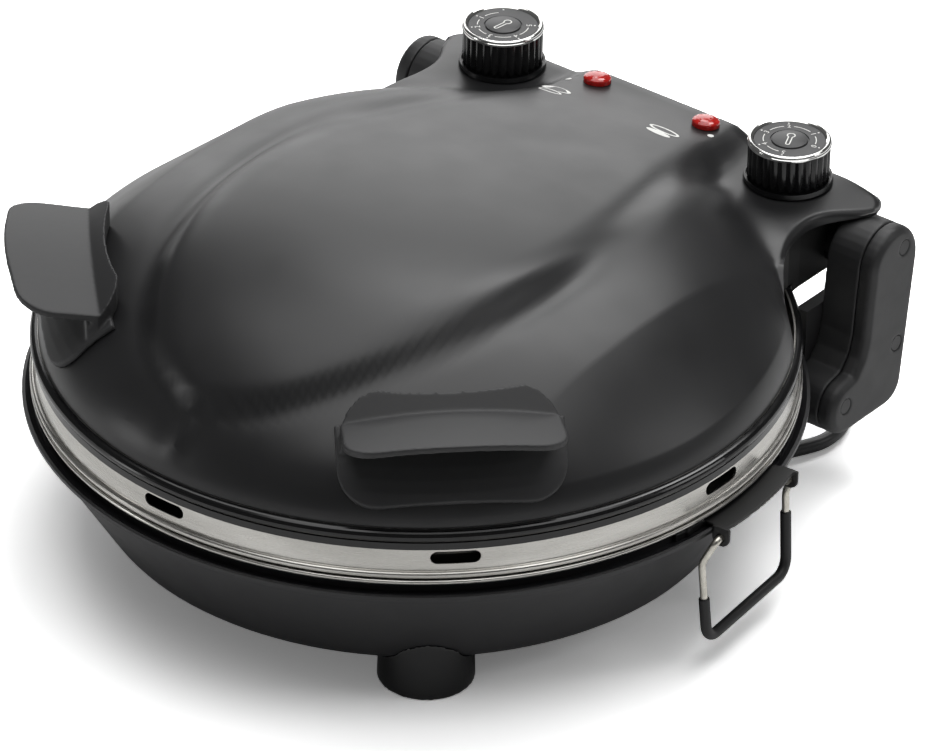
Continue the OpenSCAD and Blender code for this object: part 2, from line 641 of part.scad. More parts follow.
// Point number j of row i; row 0 is the outline and the last row lies next to the pole.
function shell_xy(i, j, inward) = let (
    ring = outline_xy(j) + inward * inner_normal(j, 1) + edge_rows[min(i, last_edge)] * soft_normal(j)
) lerp(ring, pole, row_run(i, j));
function shell_z(i, j, inward) = let (
    p = shell_xy(i, j, 0),
    d = edge_rows[min(i, last_edge)] + row_run(i, j) * norm(pole - p)
) part_z + max(lid_outline[j][2] + 1, lid_surface(p[0], p[1]) - edge_drop(d, lid_outline[j][3])) - inward;
module lid_shell() {
    n = len(lid_outline);
    side_points = [for (inward = [0, shell_t]) each concat(
        [for (j = [0 : n - 1]) let (p = shell_xy(0, j, inward)) [p[0], p[1], part_z + lid_outline[j][2]]],
        [for (i = [0 : shell_rows - 1], j = [0 : n - 1])
            let (p = shell_xy(i, j, inward)) [p[0], p[1], shell_z(i, j, inward)]],
        [[pole[0], pole[1], part_z + lid_surface(pole[0], pole[1]) - inward]]
    )];
    per_side = n * (shell_rows + 1) + 1;
    outer = [for (i = [0 : shell_rows - 1], j = [0 : n - 1]) let (
        a = i * n + j, b = i * n + (j + 1) % n, c = (i + 1) * n + (j + 1) % n, d = (i + 1) * n + j
    ) each [[a, c, b], [a, d, c]]];
    cap = [for (j = [0 : n - 1]) [shell_rows * n + j, per_side - 1, shell_rows * n + (j + 1) % n]];
    foot = [for (j = [0 : n - 1]) let (a = j, b = (j + 1) % n)
        each [[a, b, per_side + b], [a, per_side + b, per_side + a]]];
    skin = concat(outer, cap);
    inner = [for (f = skin) [f[0] + per_side, f[2] + per_side, f[1] + per_side]];
    color([0.07, 0.07, 0.075]) difference() {
        polyhedron(points = side_points, faces = concat(skin, inner, foot));
        for (s = [-1, 1]) {
            translate([s * knob_x, knob_y, pivot_z]) cylinder(r = bushing_r + 0.2, h = 50);
            at_lamp(s) translate([0, 0, -12]) cylinder(r = lamp_hole_r + 0.15, h = 24);
        }
    }
}

// ---------------------------------------------------------------- lid parts

rim_in_r = lid_r - 2.5;
strip_r = lid_r + 0.2;
module lid_rim() {
    roll_z = rim_top_z - 2.9;
    color([0.04, 0.04, 0.045]) rotate_extrude() polygon(concat(
        [[strip_r, band_top_z], [band_r + 0.3, band_top_z], [band_r + 0.3, roll_z - 2.9]],
        arc(bead_r - 3.1, roll_z, 2.7, -70, 80, 9),
        [[lid_r + 0.5, rim_top_z - 0.1], [strip_r, rim_top_z - 0.1]]
    ));
}
band_t = 0.8;
slot_z = part_z + 11;
module lid_band() {
    color([0.78, 0.78, 0.77]) difference() {
        rotate_extrude() polygon(concat(
            [[rim_in_r - 1, lid_low_z]],
            arc(bead_r - 1.5, lid_low_z + 1.5, 1.5, -90, 90, 8),
            [[band_r, band_low_z], [band_r, band_top_z], [strip_r, band_top_z], [strip_r, rim_top_z],
             [strip_r - band_t, rim_top_z], [strip_r - band_t, band_top_z - band_t],
             [band_r - band_t, band_top_z - band_t],
             [band_r - band_t, lid_low_z + 1.7], [rim_in_r - 1, lid_low_z + 1.7]]
        ));
        for (i = [0 : slot_count - 1])
            rotate([0, 0, 360 * i / slot_count]) translate([band_r - 6, 0, slot_z]) {
            for (s = [-1, 1]) translate([0, s * (slot_l - slot_h) / 2, 0]) rotate([0, 90, 0])
                cylinder(r = slot_h / 2, h = 12, $fn = 24);
            translate([0, -(slot_l - slot_h) / 2, -slot_h / 2]) cube([12, slot_l - slot_h, slot_h]);
        }
    }
}
lid_liner_low_z = lid_low_z + 1.7;
lid_liner_top_z = part_z + 49;
module lid_liner() {
    low_r = 151;
    top_r = 112;
    color([0.62, 0.63, 0.64]) difference() {
        rotate_extrude() polygon([
            [low_r, lid_liner_low_z], [band_r - band_t, lid_liner_low_z],
            [band_r - band_t, lid_liner_low_z + liner_t], [low_r + liner_t, lid_liner_low_z + liner_t],
            [top_r + liner_t, lid_liner_top_z], [0, lid_liner_top_z],
            [0, lid_liner_top_z - liner_t], [top_r, lid_liner_top_z - liner_t]
        ]);
        for (s = [-1, 1])
            translate([s * leg_x(top_ring_r), leg_y(top_ring_r), lid_liner_top_z - liner_t - THROUGH])
            cylinder(r = bush_r + 0.1, h = liner_t + 2 * THROUGH);
    }
}
module upper_element() {
    color([0.35, 0.34, 0.33]) heating_ring(top_ring_r, top_ring_z, lid_liner_top_z + 7);
}
module upper_clips() {
    color([0.7, 0.7, 0.7]) ring_clips(top_ring_r, lid_liner_top_z - liner_t, top_ring_z);
}
module upper_bushes() {
    color([0.93, 0.91, 0.86]) bushes(top_ring_r, lid_liner_top_z - liner_t, false);
}

// The under-cover closes the rear housing from below and lines the two hinge recesses.
cover_z = rim_top_z - 3;
cover_in_r = bead_r + 0.2;
wall_t = 1.5;
recess_gap = 3.2;
function inside_notch(t, gap) = let (
    p = notch_front(t),
    along = unit(notch_front(min(1, t + 0.02)) - notch_front(max(0, t - 0.02)))
) p + gap * [-along[1], along[0]];
recess_steps = 8;
module recess_wall() {
    path = concat(
        [for (i = [1 : recess_steps]) let (t = i / recess_steps)
            [inside_notch(t, recess_gap), inside_notch(t, recess_gap + wall_t),
             part_z + lerp(rim_h, shoulder_under, clamp01(t * 2)) - 0.4]],
        [[[neck_x - recess_gap, neck_y + 8], [neck_x - recess_gap - wall_t, neck_y + 8],
          part_z + shoulder_under - 0.4],
         [[neck_x - recess_gap, rear_y - shell_t - 1], [neck_x - recess_gap - wall_t, rear_y - shell_t - 1],
          part_z + shoulder_under - 0.4]]
    );
    points = [for (p = path) each [
        [p[0][0], p[0][1], cover_z], [p[1][0], p[1][1], cover_z],
        [p[1][0], p[1][1], p[2]], [p[0][0], p[0][1], p[2]]
    ]];
    last = len(path) - 1;
    faces = concat(
        [[0, 1, 2, 3]],
        [for (i = [0 : last - 1], k = [0 : 3]) let (
            a = 4 * i + k, b = 4 * i + (k + 1) % 4, c = a + 4, d = b + 4
        ) each [[a, c, d], [a, d, b]]],
        [[4 * last + 3, 4 * last + 2, 4 * last + 1, 4 * last]]
    );
    polyhedron(points = points, faces = faces);
}
module housing_cover() {
    side = [for (i = [1 : recess_steps]) inside_notch(i / recess_steps, recess_gap)];
    rear = rear_y - shell_t - FREE_GAP;
    half = concat(side, [[neck_x - recess_gap, rear]]);
    color([0.05, 0.05, 0.05]) {
        translate([0, 0, cover_z - wall_t]) linear_extrude(wall_t) difference() {
            polygon(concat(half, [for (i = [len(half) - 1 : -1 : 0]) [-half[i][0], half[i][1]]]));
            circle(r = cover_in_r);
        }
        for (side = [0, 1]) mirror([side, 0, 0]) difference() {
            translate([0, 0, -EPS]) recess_wall();
            x_rod(neck_x - 10, pivot_y, pivot_z, lug_r + 0.4, 20);
            cylinder(r = cover_in_r, h = rim_top_z + 0.1);
        }
    }
}
lug_r = 9.4;
lug_in_x = pin_in_x + 0.5;
module hinge_lugs() {
    foot_w = 18;
    color([0.3, 0.3, 0.3]) for (side = [0, 1]) mirror([side, 0, 0]) difference() {
        union() {
            x_rod(lug_in_x, pivot_y, pivot_z, lug_r, arm_in_x - 0.5 - lug_in_x);
            translate([lug_in_x, pivot_y - foot_w / 2 - 2, cover_z])
                cube([neck_x - recess_gap - wall_t - FREE_GAP - lug_in_x, foot_w, pivot_z - cover_z]);
        }
        x_rod(lug_in_x - THROUGH, pivot_y, pivot_z, pin_r + RUN_FIT, arm_in_x - lug_in_x + 2 * THROUGH);
    }
}

// A handle is a pad that follows the dome, a raised cap along its upper edge, and an arched
// finger lip that stands out from the cap. The crease is the line where cap and lip meet.
pad_t = 2.6;
pad_low_r = lid_r - 1.8;
pad_low_h = 34.6;
pad_length = 36;
pad_lean = 40;
crease_r = lid_r - 23.2;
crease_h = 65.9;
cap_back_r = lid_r - 29.5;
cap_lean = 42;
grip_rise = 9.5;
grip_arch = 5;
module dome_solid(grow) {
    steps = 26;
    rotate_extrude() polygon(concat(
        [[0, part_z]],
        [for (i = [steps : -1 : 0]) let (
            r = lid_r * (1 - pow(1 - i / steps, 1.6)),
            ahead = lobe(min(lid_r, r + 0.5)) - lobe(r - 0.5),
            lean = r < 1 ? 0 : atan(-ahead)
        ) [r < 1 ? 0 : r + grow * sin(lean), part_z + lobe(r) + grow * cos(lean)]]
    ));
}
// A cylinder whose top line falls outwards at the given angle through the crease; a shell if t > 0.
module arched(fall, t) {
    half = grip_w / 2;
    arch_r = (half * half + grip_arch * grip_arch) / (2 * grip_arch);
    reach = 60;
    translate([crease_r, 0, part_z + crease_h]) rotate([0, 90 + fall, 0]) translate([arch_r, 0, -reach])
        difference() {
            cylinder(r = arch_r, h = 2 * reach);
            if (t > 0) translate([0, 0, -THROUGH]) cylinder(r = arch_r - t, h = 2 * (reach + THROUGH));
        }
}
// The handle seen from above, from its back edge to the lip's edge.
module grip_plan() {
    half = grip_w / 2;
    tip_r = 16;
    back_turn = asin((half - 15) / cap_back_r);
    lip_turn = asin((half - tip_r) / grip_r);
    tip_x = grip_r * cos(lip_turn) - tip_r;
    polygon(concat(
        arc(0, 0, cap_back_r, back_turn, -back_turn, 6),
        [[cap_back_r - 2.5, 9 - half], [cap_back_r + 0.5, 4 - half], [crease_r - 1, 0.5 - half]],
        arc(tip_x, tip_r - half, tip_r, -90, -6, 6),
        arc(0, 0, grip_r, 5 - lip_turn, lip_turn - 5, 6),
        arc(tip_x, half - tip_r, tip_r, 6, 90, 6),
        [[crease_r - 1, half - 0.5], [cap_back_r + 0.5, half - 4], [cap_back_r - 2.5, half - 9]]
    ));
}
module pad_prism() {
    round_r = 17;
    translate([pad_low_r, 0, part_z + pad_low_h]) rotate([0, pad_lean, 0]) translate([-pad_length, 0, -40])
        linear_extrude(80) {
            for (s = [-1, 1]) translate([pad_length - round_r, s * (pad_w / 2 - round_r)]) circle(r = round_r);
            translate([0, round_r - pad_w / 2]) square([pad_length, pad_w - 2 * round_r]);
            translate([0, -pad_w / 2]) square([pad_length - round_r, pad_w]);
        }
}
module handle() {
    cap_end_r = crease_r + 4.5;
    color([0.13, 0.13, 0.13]) difference() {
        union() {
            intersection() {
                dome_solid(FREE_GAP + pad_t);
                pad_prism();
            }
            intersection() {
                linear_extrude(part_z + 2 * crease_h) grip_plan();
                arched(-grip_rise, grip_t);
            }
            intersection() {
                linear_extrude(part_z + 2 * crease_h) intersection() {
                    grip_plan();
                    translate([0, -grip_w]) square([cap_end_r, 2 * grip_w]);
                }
                arched(cap_lean, 0);
            }
        }
        dome_solid(FREE_GAP);
        translate([0, 0, -1]) cylinder(r = lid_r + 1, h = rim_top_z + 2.2);
    }
}
handle_turn = -45;

// ---------------------------------------------------------------- controls

// The lamps stand square to the surface that they sit on.
lamp_slope_x = (lid_surface(lamp_x + 1, lamp_y) - lid_surface(lamp_x - 1, lamp_y)) / 2;
lamp_slope_y = (lid_surface(lamp_x, lamp_y + 1) - lid_surface(lamp_x, lamp_y - 1)) / 2;
lamp_hole_r = 4.6;
bushing_r = 4.8;
knob_low_z = part_z + shoulder_h + 1.1;
module at_lamp(side) {
    translate([side * lamp_x, lamp_y, part_z + lid_surface(lamp_x, lamp_y)])
        rotate([atan(lamp_slope_y), -side * atan(lamp_slope_x), 0]) children();
}
module lamp_lenses() {
    color([0.75, 0.06, 0.05]) for (s = [-1, 1]) at_lamp(s) translate([0, 0, FREE_GAP + 0.1]) rotate_extrude()
        polygon(concat([[0, 0], [lamp_r, 0], [lamp_r, 1.6]],
            [for (a = [15 : 15 : 90]) [lamp_r * cos(a), 1.6 + 2.2 * sin(a)]]));
}
module lamp_holders() {
    color([0.85, 0.85, 0.82]) for (s = [-1, 1]) at_lamp(s) {
        translate([0, 0, -14]) cylinder(r = lamp_hole_r, h = 14.1 + FREE_GAP);
        translate([0, 0, -6.5]) cylinder(r = 6.5, h = 2);
    }
}
module at_knobs(sides) {
    for (s = sides) translate([s * knob_x, knob_y, 0]) children();
}
collar_h = 2;
module knob_collars() {
    color([0.05, 0.05, 0.05]) at_knobs([-1, 1]) translate([0, 0, knob_low_z]) difference() {
        cylinder(r1 = knob_r + 1.4, r2 = knob_r + 1, h = collar_h);
        translate([0, 0, -THROUGH]) cylinder(r = bushing_r + 0.1, h = 10);
        translate([0, 0, 0.8]) cylinder(r = knob_r + 0.2, h = 10);
    }
}
shaft_r = 3;
thermostat_low_z = pivot_z - 6;
module thermostats() {
    color([0.8, 0.8, 0.78]) at_knobs([-1, 1]) difference() {
        union() {
            translate([0, 0, cover_z]) cylinder(r = 3, h = thermostat_low_z - cover_z + EPS);
            translate([0, 0, thermostat_low_z]) cylinder(r = 13.5, h = 13);
            translate([0, 0, thermostat_low_z + 13 - EPS])
                cylinder(r = bushing_r, h = knob_low_z + 0.2 - thermostat_low_z - 13);
        }
        translate([0, 0, thermostat_low_z + 4]) cylinder(r = shaft_r + RUN_FIT, h = 60);
    }
}
knob_start_z = knob_low_z + 1.2;
module knob(side) {
    flute_d = 0.9;
    color([0.05, 0.05, 0.05]) at_knobs([side]) difference() {
        translate([0, 0, knob_start_z]) linear_extrude(knob_h - 3.4) polygon([
            for (i = [0 : flute_count - 1], k = [0 : 3]) let (
                a = 360 / flute_count * (i + [0.12, 0.55, 0.67, 1][k]),
                r = knob_r - 0.3 - (k < 2 ? 0 : flute_d)
            ) r * [cos(a), sin(a)]
        ]);
        translate([0, 0, knob_start_z - THROUGH]) cylinder(r = knob_r - 3.5, h = 6 + THROUGH);
        translate([0, 0, knob_start_z - THROUGH]) cylinder(r = shaft_r + 0.02, h = 13 + THROUGH);
    }
}
ring_in_r = knob_r - 2.6;
module knob_ring(side) {
    low = knob_start_z + knob_h - 3.4;
    color([0.85, 0.85, 0.85]) at_knobs([side]) rotate_extrude() polygon(concat(
        [[ring_in_r, low], [knob_r - 0.1, low], [knob_r, low + 0.4], [knob_r, low + 1.2]],
        arc(knob_r - 1.2, low + 1.2, 1.2, 15, 90, 5),
        [[ring_in_r + 0.4, low + 2.4], [ring_in_r, low + 2]]
    ));
}
module knob_dial(side) {
    low = knob_start_z + knob_h - 3.4;
    color([0.18, 0.18, 0.18]) at_knobs([side]) translate([0, 0, low]) {
        cylinder(r = ring_in_r - 0.1, h = 1.4);
        cylinder(r = 7.6, h = 1.8);
    }
}
module knob_shaft(side) {
    color([0.75, 0.75, 0.75]) at_knobs([side]) translate([0, 0, thermostat_low_z + 4.5])
        cylinder(r = shaft_r, h = knob_start_z + 13 - thermostat_low_z - 4.7);
}

// ---------------------------------------------------------------- cord

relief_l = 24;
module strain_relief() {
    color([0.06, 0.06, 0.06]) at_gland() {
        translate([0, 0, -6.4]) cylinder(r = gland_r, h = 9.4);
        translate([0, 0, -6.4]) cylinder(r = gland_r + 2, h = 2.2);
        translate([0, 0, 0.8]) cylinder(r = gland_r + 2.4, h = 2.4);
        translate([0, 0, 3]) cylinder(r1 = gland_r + 1.2, r2 = cord_r + 0.7, h = relief_l - 3);
    }
}
floor_z = cord_r + 0.1;
coil_low_z = cord_r + 1;
gland_dir = [cos(gland_turn) * cos(gland_lean), sin(gland_turn) * cos(gland_lean), -sin(gland_lean)];
gland_face = [slope_r(gland_z) * cos(gland_turn), slope_r(gland_z) * sin(gland_turn), gland_z];
relief_end = gland_face + relief_l * gland_dir;
coil_middle = [-62, 252];
route = concat(
    [relief_end, relief_end + 7 * gland_dir],
    [[104, 149, floor_z], [107, 157, floor_z], [107, 166, floor_z], [105, 174, floor_z],
     [101, 182, floor_z], [95, 189, floor_z], [87, 195, floor_z], [77, 200, floor_z],
     [66, 203, floor_z], [54, 205, floor_z], [41, 206, floor_z], [28, 206.5, floor_z],
     [14, 207, floor_z], [0, 207, floor_z], [-14, 207, floor_z], [-28, 207, floor_z + 0.2],
     [-40, 207, coil_low_z]],
    [[coil_middle[0] + 8, coil_middle[1] - coil_r, coil_low_z],
     [coil_middle[0] + 1, coil_middle[1] - coil_r, coil_low_z]]
);
module power_cord() {
    color([0.05, 0.05, 0.05]) tube(route, cord_r, 8);
}
// The spare cord: two loops spiral inwards on the floor, climb, and spiral out on top of them.
layer_step = cord_r * 2 + 0.8;
turns_in = loop_count / 2;
function coil_point(t) = let (
    a = -90 - 360 * t,
    r = coil_r - loop_step * (t <= turns_in ? t : 2 * turns_in - t),
    climb = smooth01((t - turns_in + 0.25) / 0.5)
) [coil_middle[0] + r * cos(a), coil_middle[1] + r * sin(a), coil_low_z + layer_step * climb];
coil_steps = 24 * loop_count;
tail = 22;
plug_z = 13.2;
plug_l = 26;
boot_l = 18;
plug_x = coil_middle[0] - tail;
coil_path = concat(
    [[coil_middle[0] + 1, coil_middle[1] - coil_r, coil_low_z]],
    [for (i = [1 : coil_steps - 1]) coil_point(i / 24)],
    [[coil_middle[0] - 1, coil_middle[1] - coil_r, coil_low_z + layer_step],
     [coil_middle[0] - tail + 7, coil_middle[1] - coil_r, plug_z],
     [coil_middle[0] - tail, coil_middle[1] - coil_r, plug_z]]
);
coil_gap = min([for (i = [0 : coil_steps - 6], j = [i + 6 : len(coil_path) - 1])
    norm(coil_path[i] - coil_path[j])]) - 2 * cord_r;
echo(least_gap_between_loops = coil_gap);
module cord_coil() {
    color([0.05, 0.05, 0.05]) tube(coil_path, cord_r, 6);
}
tie_t = 0.6;
tie_w = 8;
module cord_tie() {
    room = cord_r + 0.4;
    inner = coil_r - 1.5 * loop_step - room;
    outer = coil_r - 0.5 * loop_step + room;
    low = coil_low_z - room;
    high = coil_low_z + layer_step + room;
    color([0.15, 0.15, 0.15]) translate([coil_middle[0], coil_middle[1], 0]) difference() {
        translate([-tie_w / 2, inner - tie_t, low - tie_t])
            cube([tie_w, outer - inner + 2 * tie_t, high - low + 2 * tie_t]);
        translate([-tie_w, inner, low]) cube([2 * tie_w, outer - inner, high - low]);
    }
}
module plug_body() {
    y = coil_middle[1] - coil_r;
    color([0.06, 0.06, 0.06]) translate([plug_x, y, plug_z]) rotate([0, -90, 0]) {
        cylinder(r1 = cord_r + 1, r2 = 7.5, h = boot_l);
        translate([0, 0, boot_l - EPS]) linear_extrude(plug_l) {
            for (s = [-1, 1]) translate([0, s * 5.7]) circle(r = plug_z - 0.1);
            square([2 * plug_z - 0.2, 11.4], center = true);
        }
    }
}
module plug_pins() {
    color([0.75, 0.75, 0.72]) for (s = [-1, 1])
        translate([plug_x - boot_l - plug_l + EPS, coil_middle[1] - coil_r + s * 9.5, plug_z])
            rotate([0, -90, 0]) cylinder(r = 2.4, h = 19);
}

place() base_bowl();
place() trim_ring();
place() base_liner();
place() baking_stone();
place() lower_element();
place() lower_clips();
place() lower_bushes();
place() terminal_block();
place() foot(foot_turns[0]);  // foot_front_right
place() foot(foot_turns[1]);  // foot_rear_right
place() foot(foot_turns[2]);  // foot_left
place() foot_pads();
place() base_screws();
place() hinge_bracket();  // hinge_bracket_right
place() left_copy() hinge_bracket();  // hinge_bracket_left
place() arm_body();  // arm_right
place() left_copy() arm_body();  // arm_left
place() arm_cover();  // arm_cover_right
place() left_copy() arm_cover();  // arm_cover_left
place() arm_plugs();
place() arm_screws();
place() hinge_pins();
place() bail_bracket();  // bail_bracket_right
place() left_copy() bail_bracket();  // bail_bracket_left
place() bail_rivets();
place() bail_wire();  // bail_wire_right
place() left_copy() bail_wire();  // bail_wire_left
place() bail_sleeve();  // bail_sleeve_right
place() left_copy() bail_sleeve();  // bail_sleeve_left
place() strain_relief();
place() power_cord();
place() cord_coil();
place() cord_tie();
place() plug_body();
place() plug_pins();
place() lid_shell();
place() lid_rim();
place() lid_band();
place() lid_liner();
place() upper_element();
place() upper_clips();
place() upper_bushes();
place() housing_cover();
place() hinge_lugs();
place() rotate([0, 0, handle_turn]) handle();  // handle_right
place() left_copy() rotate([0, 0, handle_turn]) handle();  // handle_left
place() lamp_lenses();
place() lamp_holders();
place() knob_collars();
place() thermostats();
place() knob(1);  // knob_right
place() knob(-1);  // knob_left
place() knob_ring(1);  // knob_ring_right
place() knob_ring(-1);  // knob_ring_left
place() knob_dial(1);  // knob_dial_right
place() knob_dial(-1);  // knob_dial_left
place() knob_shaft(1);  // knob_shaft_right
place() knob_shaft(-1);  // knob_shaft_left
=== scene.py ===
"""Looks of a round electric pizza maker, laid out as a Blender add-on and run as a script.

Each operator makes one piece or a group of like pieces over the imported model.
"""

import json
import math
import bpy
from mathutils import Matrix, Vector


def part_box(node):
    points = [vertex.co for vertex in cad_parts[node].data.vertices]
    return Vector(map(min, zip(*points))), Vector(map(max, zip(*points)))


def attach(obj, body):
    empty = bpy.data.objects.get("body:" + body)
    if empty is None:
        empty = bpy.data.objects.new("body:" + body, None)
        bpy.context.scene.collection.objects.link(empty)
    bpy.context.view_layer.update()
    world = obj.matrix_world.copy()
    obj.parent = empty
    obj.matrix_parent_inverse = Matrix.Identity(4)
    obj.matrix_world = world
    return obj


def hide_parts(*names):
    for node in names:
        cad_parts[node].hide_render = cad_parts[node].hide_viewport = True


bl_info = {
    "name": "Electric pizza maker looks",
    "version": (1, 0, 0),
    "blender": (4, 5, 0),
    "location": "View3D > Sidebar > Pizza maker",
    "description": "Builds the visible pieces and finishes of a round electric pizza maker",
    "category": "Object",
}

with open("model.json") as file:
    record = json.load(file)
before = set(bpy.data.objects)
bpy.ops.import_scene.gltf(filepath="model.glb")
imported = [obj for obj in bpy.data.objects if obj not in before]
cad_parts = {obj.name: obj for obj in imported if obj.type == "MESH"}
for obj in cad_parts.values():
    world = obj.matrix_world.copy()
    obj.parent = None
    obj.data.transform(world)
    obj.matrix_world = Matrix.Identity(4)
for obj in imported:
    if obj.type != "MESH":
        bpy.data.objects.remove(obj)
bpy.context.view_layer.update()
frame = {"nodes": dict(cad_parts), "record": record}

import bmesh
import bpy
from mathutils import Matrix, Vector

MM = 0.001
NODES = frame["nodes"]


def middle(node):
    """Middle of a CAD node's box, in metres."""
    low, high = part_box(node)
    return (Vector(low) + Vector(high)) / 2


AXIS_Y = middle("trim_ring").y / MM
PART_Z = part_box("trim_ring")[1][2] / MM - 0.8


# ------------------------------------------------------------------ colours and materials


def linear(code):
    """An sRGB hex colour as linear red, green and blue, with full alpha."""
    parts = [int(code[i : i + 2], 16) / 255 for i in (1, 3, 5)]
    return tuple(c / 12.92 if c <= 0.04045 else ((c + 0.055) / 1.055) ** 2.4 for c in parts) + (1.0,)


def add(tree, kind, inputs=None, **settings):
    """Adds one node to a tree, with its settings, its input values and its links."""
    made = tree.nodes.new(kind)
    for name, value in settings.items():
        setattr(made, name, value)
    for key, value in (inputs or {}).items():
        if isinstance(value, bpy.types.NodeSocket):
            tree.links.new(value, made.inputs[key])
        else:
            made.inputs[key].default_value = value
    return made


def finish_of(name, code, roughness, metallic=0.0, coat=0.0, coat_roughness=0.1, specular=0.5):
    """A material with a Principled shader, whose constants stand on the shader's own sockets."""
    made = bpy.data.materials.new(name)
    made.use_nodes = True
    shader = made.node_tree.nodes["Principled BSDF"]
    shader.inputs["Base Color"].default_value = linear(code)
    shader.inputs["Roughness"].default_value = roughness
    shader.inputs["Metallic"].default_value = metallic
    if coat:
        shader.inputs["Coat Weight"].default_value = coat
        shader.inputs["Coat Roughness"].default_value = coat_roughness
    if specular != 0.5:
        shader.inputs["Specular IOR Level"].default_value = specular
    return made, made.node_tree, shader


def millimetres(tree):
    """Object coordinates in millimetres about the bowl's axis."""
    place = add(tree, "ShaderNodeTexCoord")
    return add(
        tree,
        "ShaderNodeMapping",
        {"Vector": place.outputs["Object"], "Location": (0, -AXIS_Y, 0), "Scale": (1000, 1000, 1000)},
    ).outputs["Vector"]


def grain(tree, where, size, detail=2.0):
    """Noise whose patches measure about size millimetres."""
    return add(
        tree, "ShaderNodeTexNoise", {"Vector": where, "Scale": 1 / size, "Detail": detail}
    ).outputs["Fac"]


def spread(tree, fac, low, high, start=0.3, end=0.7):
    """A value between low and high, led by fac."""
    return add(
        tree,
        "ShaderNodeMapRange",
        {"Value": fac, "From Min": start, "From Max": end, "To Min": low, "To Max": high},
    ).outputs["Result"]


def blend(tree, fac, first, second):
    """A colour between two hex colours, led by fac."""
    mix = add(tree, "ShaderNodeMix", {"Factor": fac}, data_type="RGBA")
    mix.inputs["A"].default_value = linear(first)
    mix.inputs["B"].default_value = linear(second)
    return mix.outputs["Result"]


def raise_surface(tree, shader, height, strength, distance):
    """Bump of the given height in millimetres."""
    bump = add(
        tree, "ShaderNodeBump", {"Height": height, "Strength": strength, "Distance": distance * MM}
    )
    tree.links.new(bump.outputs["Normal"], shader.inputs["Normal"])


def around(tree, along, across, height):
    """Coordinates that run round the bowl's axis: angle, radius and height, each in its own scale."""
    parts = add(tree, "ShaderNodeSeparateXYZ", {"Vector": millimetres(tree)})
    x, y, z = (parts.outputs[k] for k in "XYZ")
    angle = add(tree, "ShaderNodeMath", {0: y, 1: x}, operation="ARCTAN2").outputs[0]
    square = add(tree, "ShaderNodeMath", {0: x, 1: x}, operation="MULTIPLY").outputs[0]
    both = add(tree, "ShaderNodeMath", {0: y, 1: y, 2: square}, operation="MULTIPLY_ADD").outputs[0]
    radius = add(tree, "ShaderNodeMath", {0: both}, operation="SQRT").outputs[0]
    scaled = [
        add(tree, "ShaderNodeMath", {0: value, 1: factor}, operation="MULTIPLY").outputs[0]
        for value, factor in ((angle, along), (radius, across), (z, height))
    ]
    return add(tree, "ShaderNodeCombineXYZ", dict(zip("XYZ", scaled))).outputs["Vector"]


def powder_coat(name, code, lighter, roughness):
    """Satin stoving enamel on pressed sheet: a faint orange peel and slightly uneven gloss."""
    made, tree, shader = finish_of(name, code, roughness)
    where = millimetres(tree)
    tree.links.new(blend(tree, grain(tree, where, 0.5, 3), code, lighter), shader.inputs["Base Color"])
    rough = spread(tree, grain(tree, where, 26, 4), roughness - 0.03, roughness + 0.03)
    tree.links.new(rough, shader.inputs["Roughness"])
    raise_surface(tree, shader, grain(tree, where, 0.9, 2), 0.25, 0.02)
    return made


def moulded_plastic(name, code, lighter, roughness, texture=0.35, depth=0.02):
    """Injection-moulded plastic with a fine spark-eroded texture."""
    made, tree, shader = finish_of(name, code, roughness)
    where = millimetres(tree)
    tree.links.new(blend(tree, grain(tree, where, 5, 5), code, lighter), shader.inputs["Base Color"])
    rough = spread(tree, grain(tree, where, 12, 3), roughness - 0.03, roughness + 0.04)
    tree.links.new(rough, shader.inputs["Roughness"])
    raise_surface(tree, shader, grain(tree, where, texture, 2), 0.5, depth)
    return made


def brushed_steel(name, code, darker, roughness):
    """Stainless strip, brushed along its length: fine lines run round the rim."""
    made, tree, shader = finish_of(name, code, roughness, metallic=1.0)
    lines = add(
        tree, "ShaderNodeTexNoise", {"Vector": around(tree, 9.0, 3.0, 3.2), "Scale": 1.0, "Detail": 4.0}
    ).outputs["Fac"]
    patches = add(
        tree, "ShaderNodeTexNoise", {"Vector": around(tree, 3.5, 0.02, 0.12), "Scale": 1.0, "Detail": 2.0}
    ).outputs["Fac"]
    tree.links.new(blend(tree, patches, darker, code), shader.inputs["Base Color"])
    tree.links.new(spread(tree, lines, roughness - 0.07, roughness + 0.1), shader.inputs["Roughness"])
    raise_surface(tree, shader, lines, 0.22, 0.02)
    return made


def drawn_wire(name, code, roughness):
    """Zinc-plated drawn wire, softly mottled."""
    made, tree, shader = finish_of(name, code, roughness, metallic=1.0)
    where = millimetres(tree)
    rough = spread(tree, grain(tree, where, 1.4, 3), roughness - 0.06, roughness + 0.12)
    tree.links.new(rough, shader.inputs["Roughness"])
    tree.links.new(blend(tree, grain(tree, where, 4, 3), "#b9b6ac", code), shader.inputs["Base Color"])
    raise_surface(tree, shader, grain(tree, where, 0.6, 2), 0.3, 0.02)
    return made


def liner_steel():
    """Aluminised sheet: a dull silver with a soft spangle and faint heat tint."""
    made, tree, shader = finish_of("aluminised_sheet", "#b5b3ad", 0.38, metallic=1.0)
    where = millimetres(tree)
    cells = add(tree, "ShaderNodeTexVoronoi", {"Vector": where, "Scale": 0.14}).outputs["Color"]
    fac = add(tree, "ShaderNodeSeparateColor", {"Color": cells}).outputs[0]
    tree.links.new(blend(tree, fac, "#aaa8a2", "#c4c2bc"), shader.inputs["Base Color"])
    tree.links.new(spread(tree, grain(tree, where, 9, 4), 0.3, 0.46), shader.inputs["Roughness"])
    return made


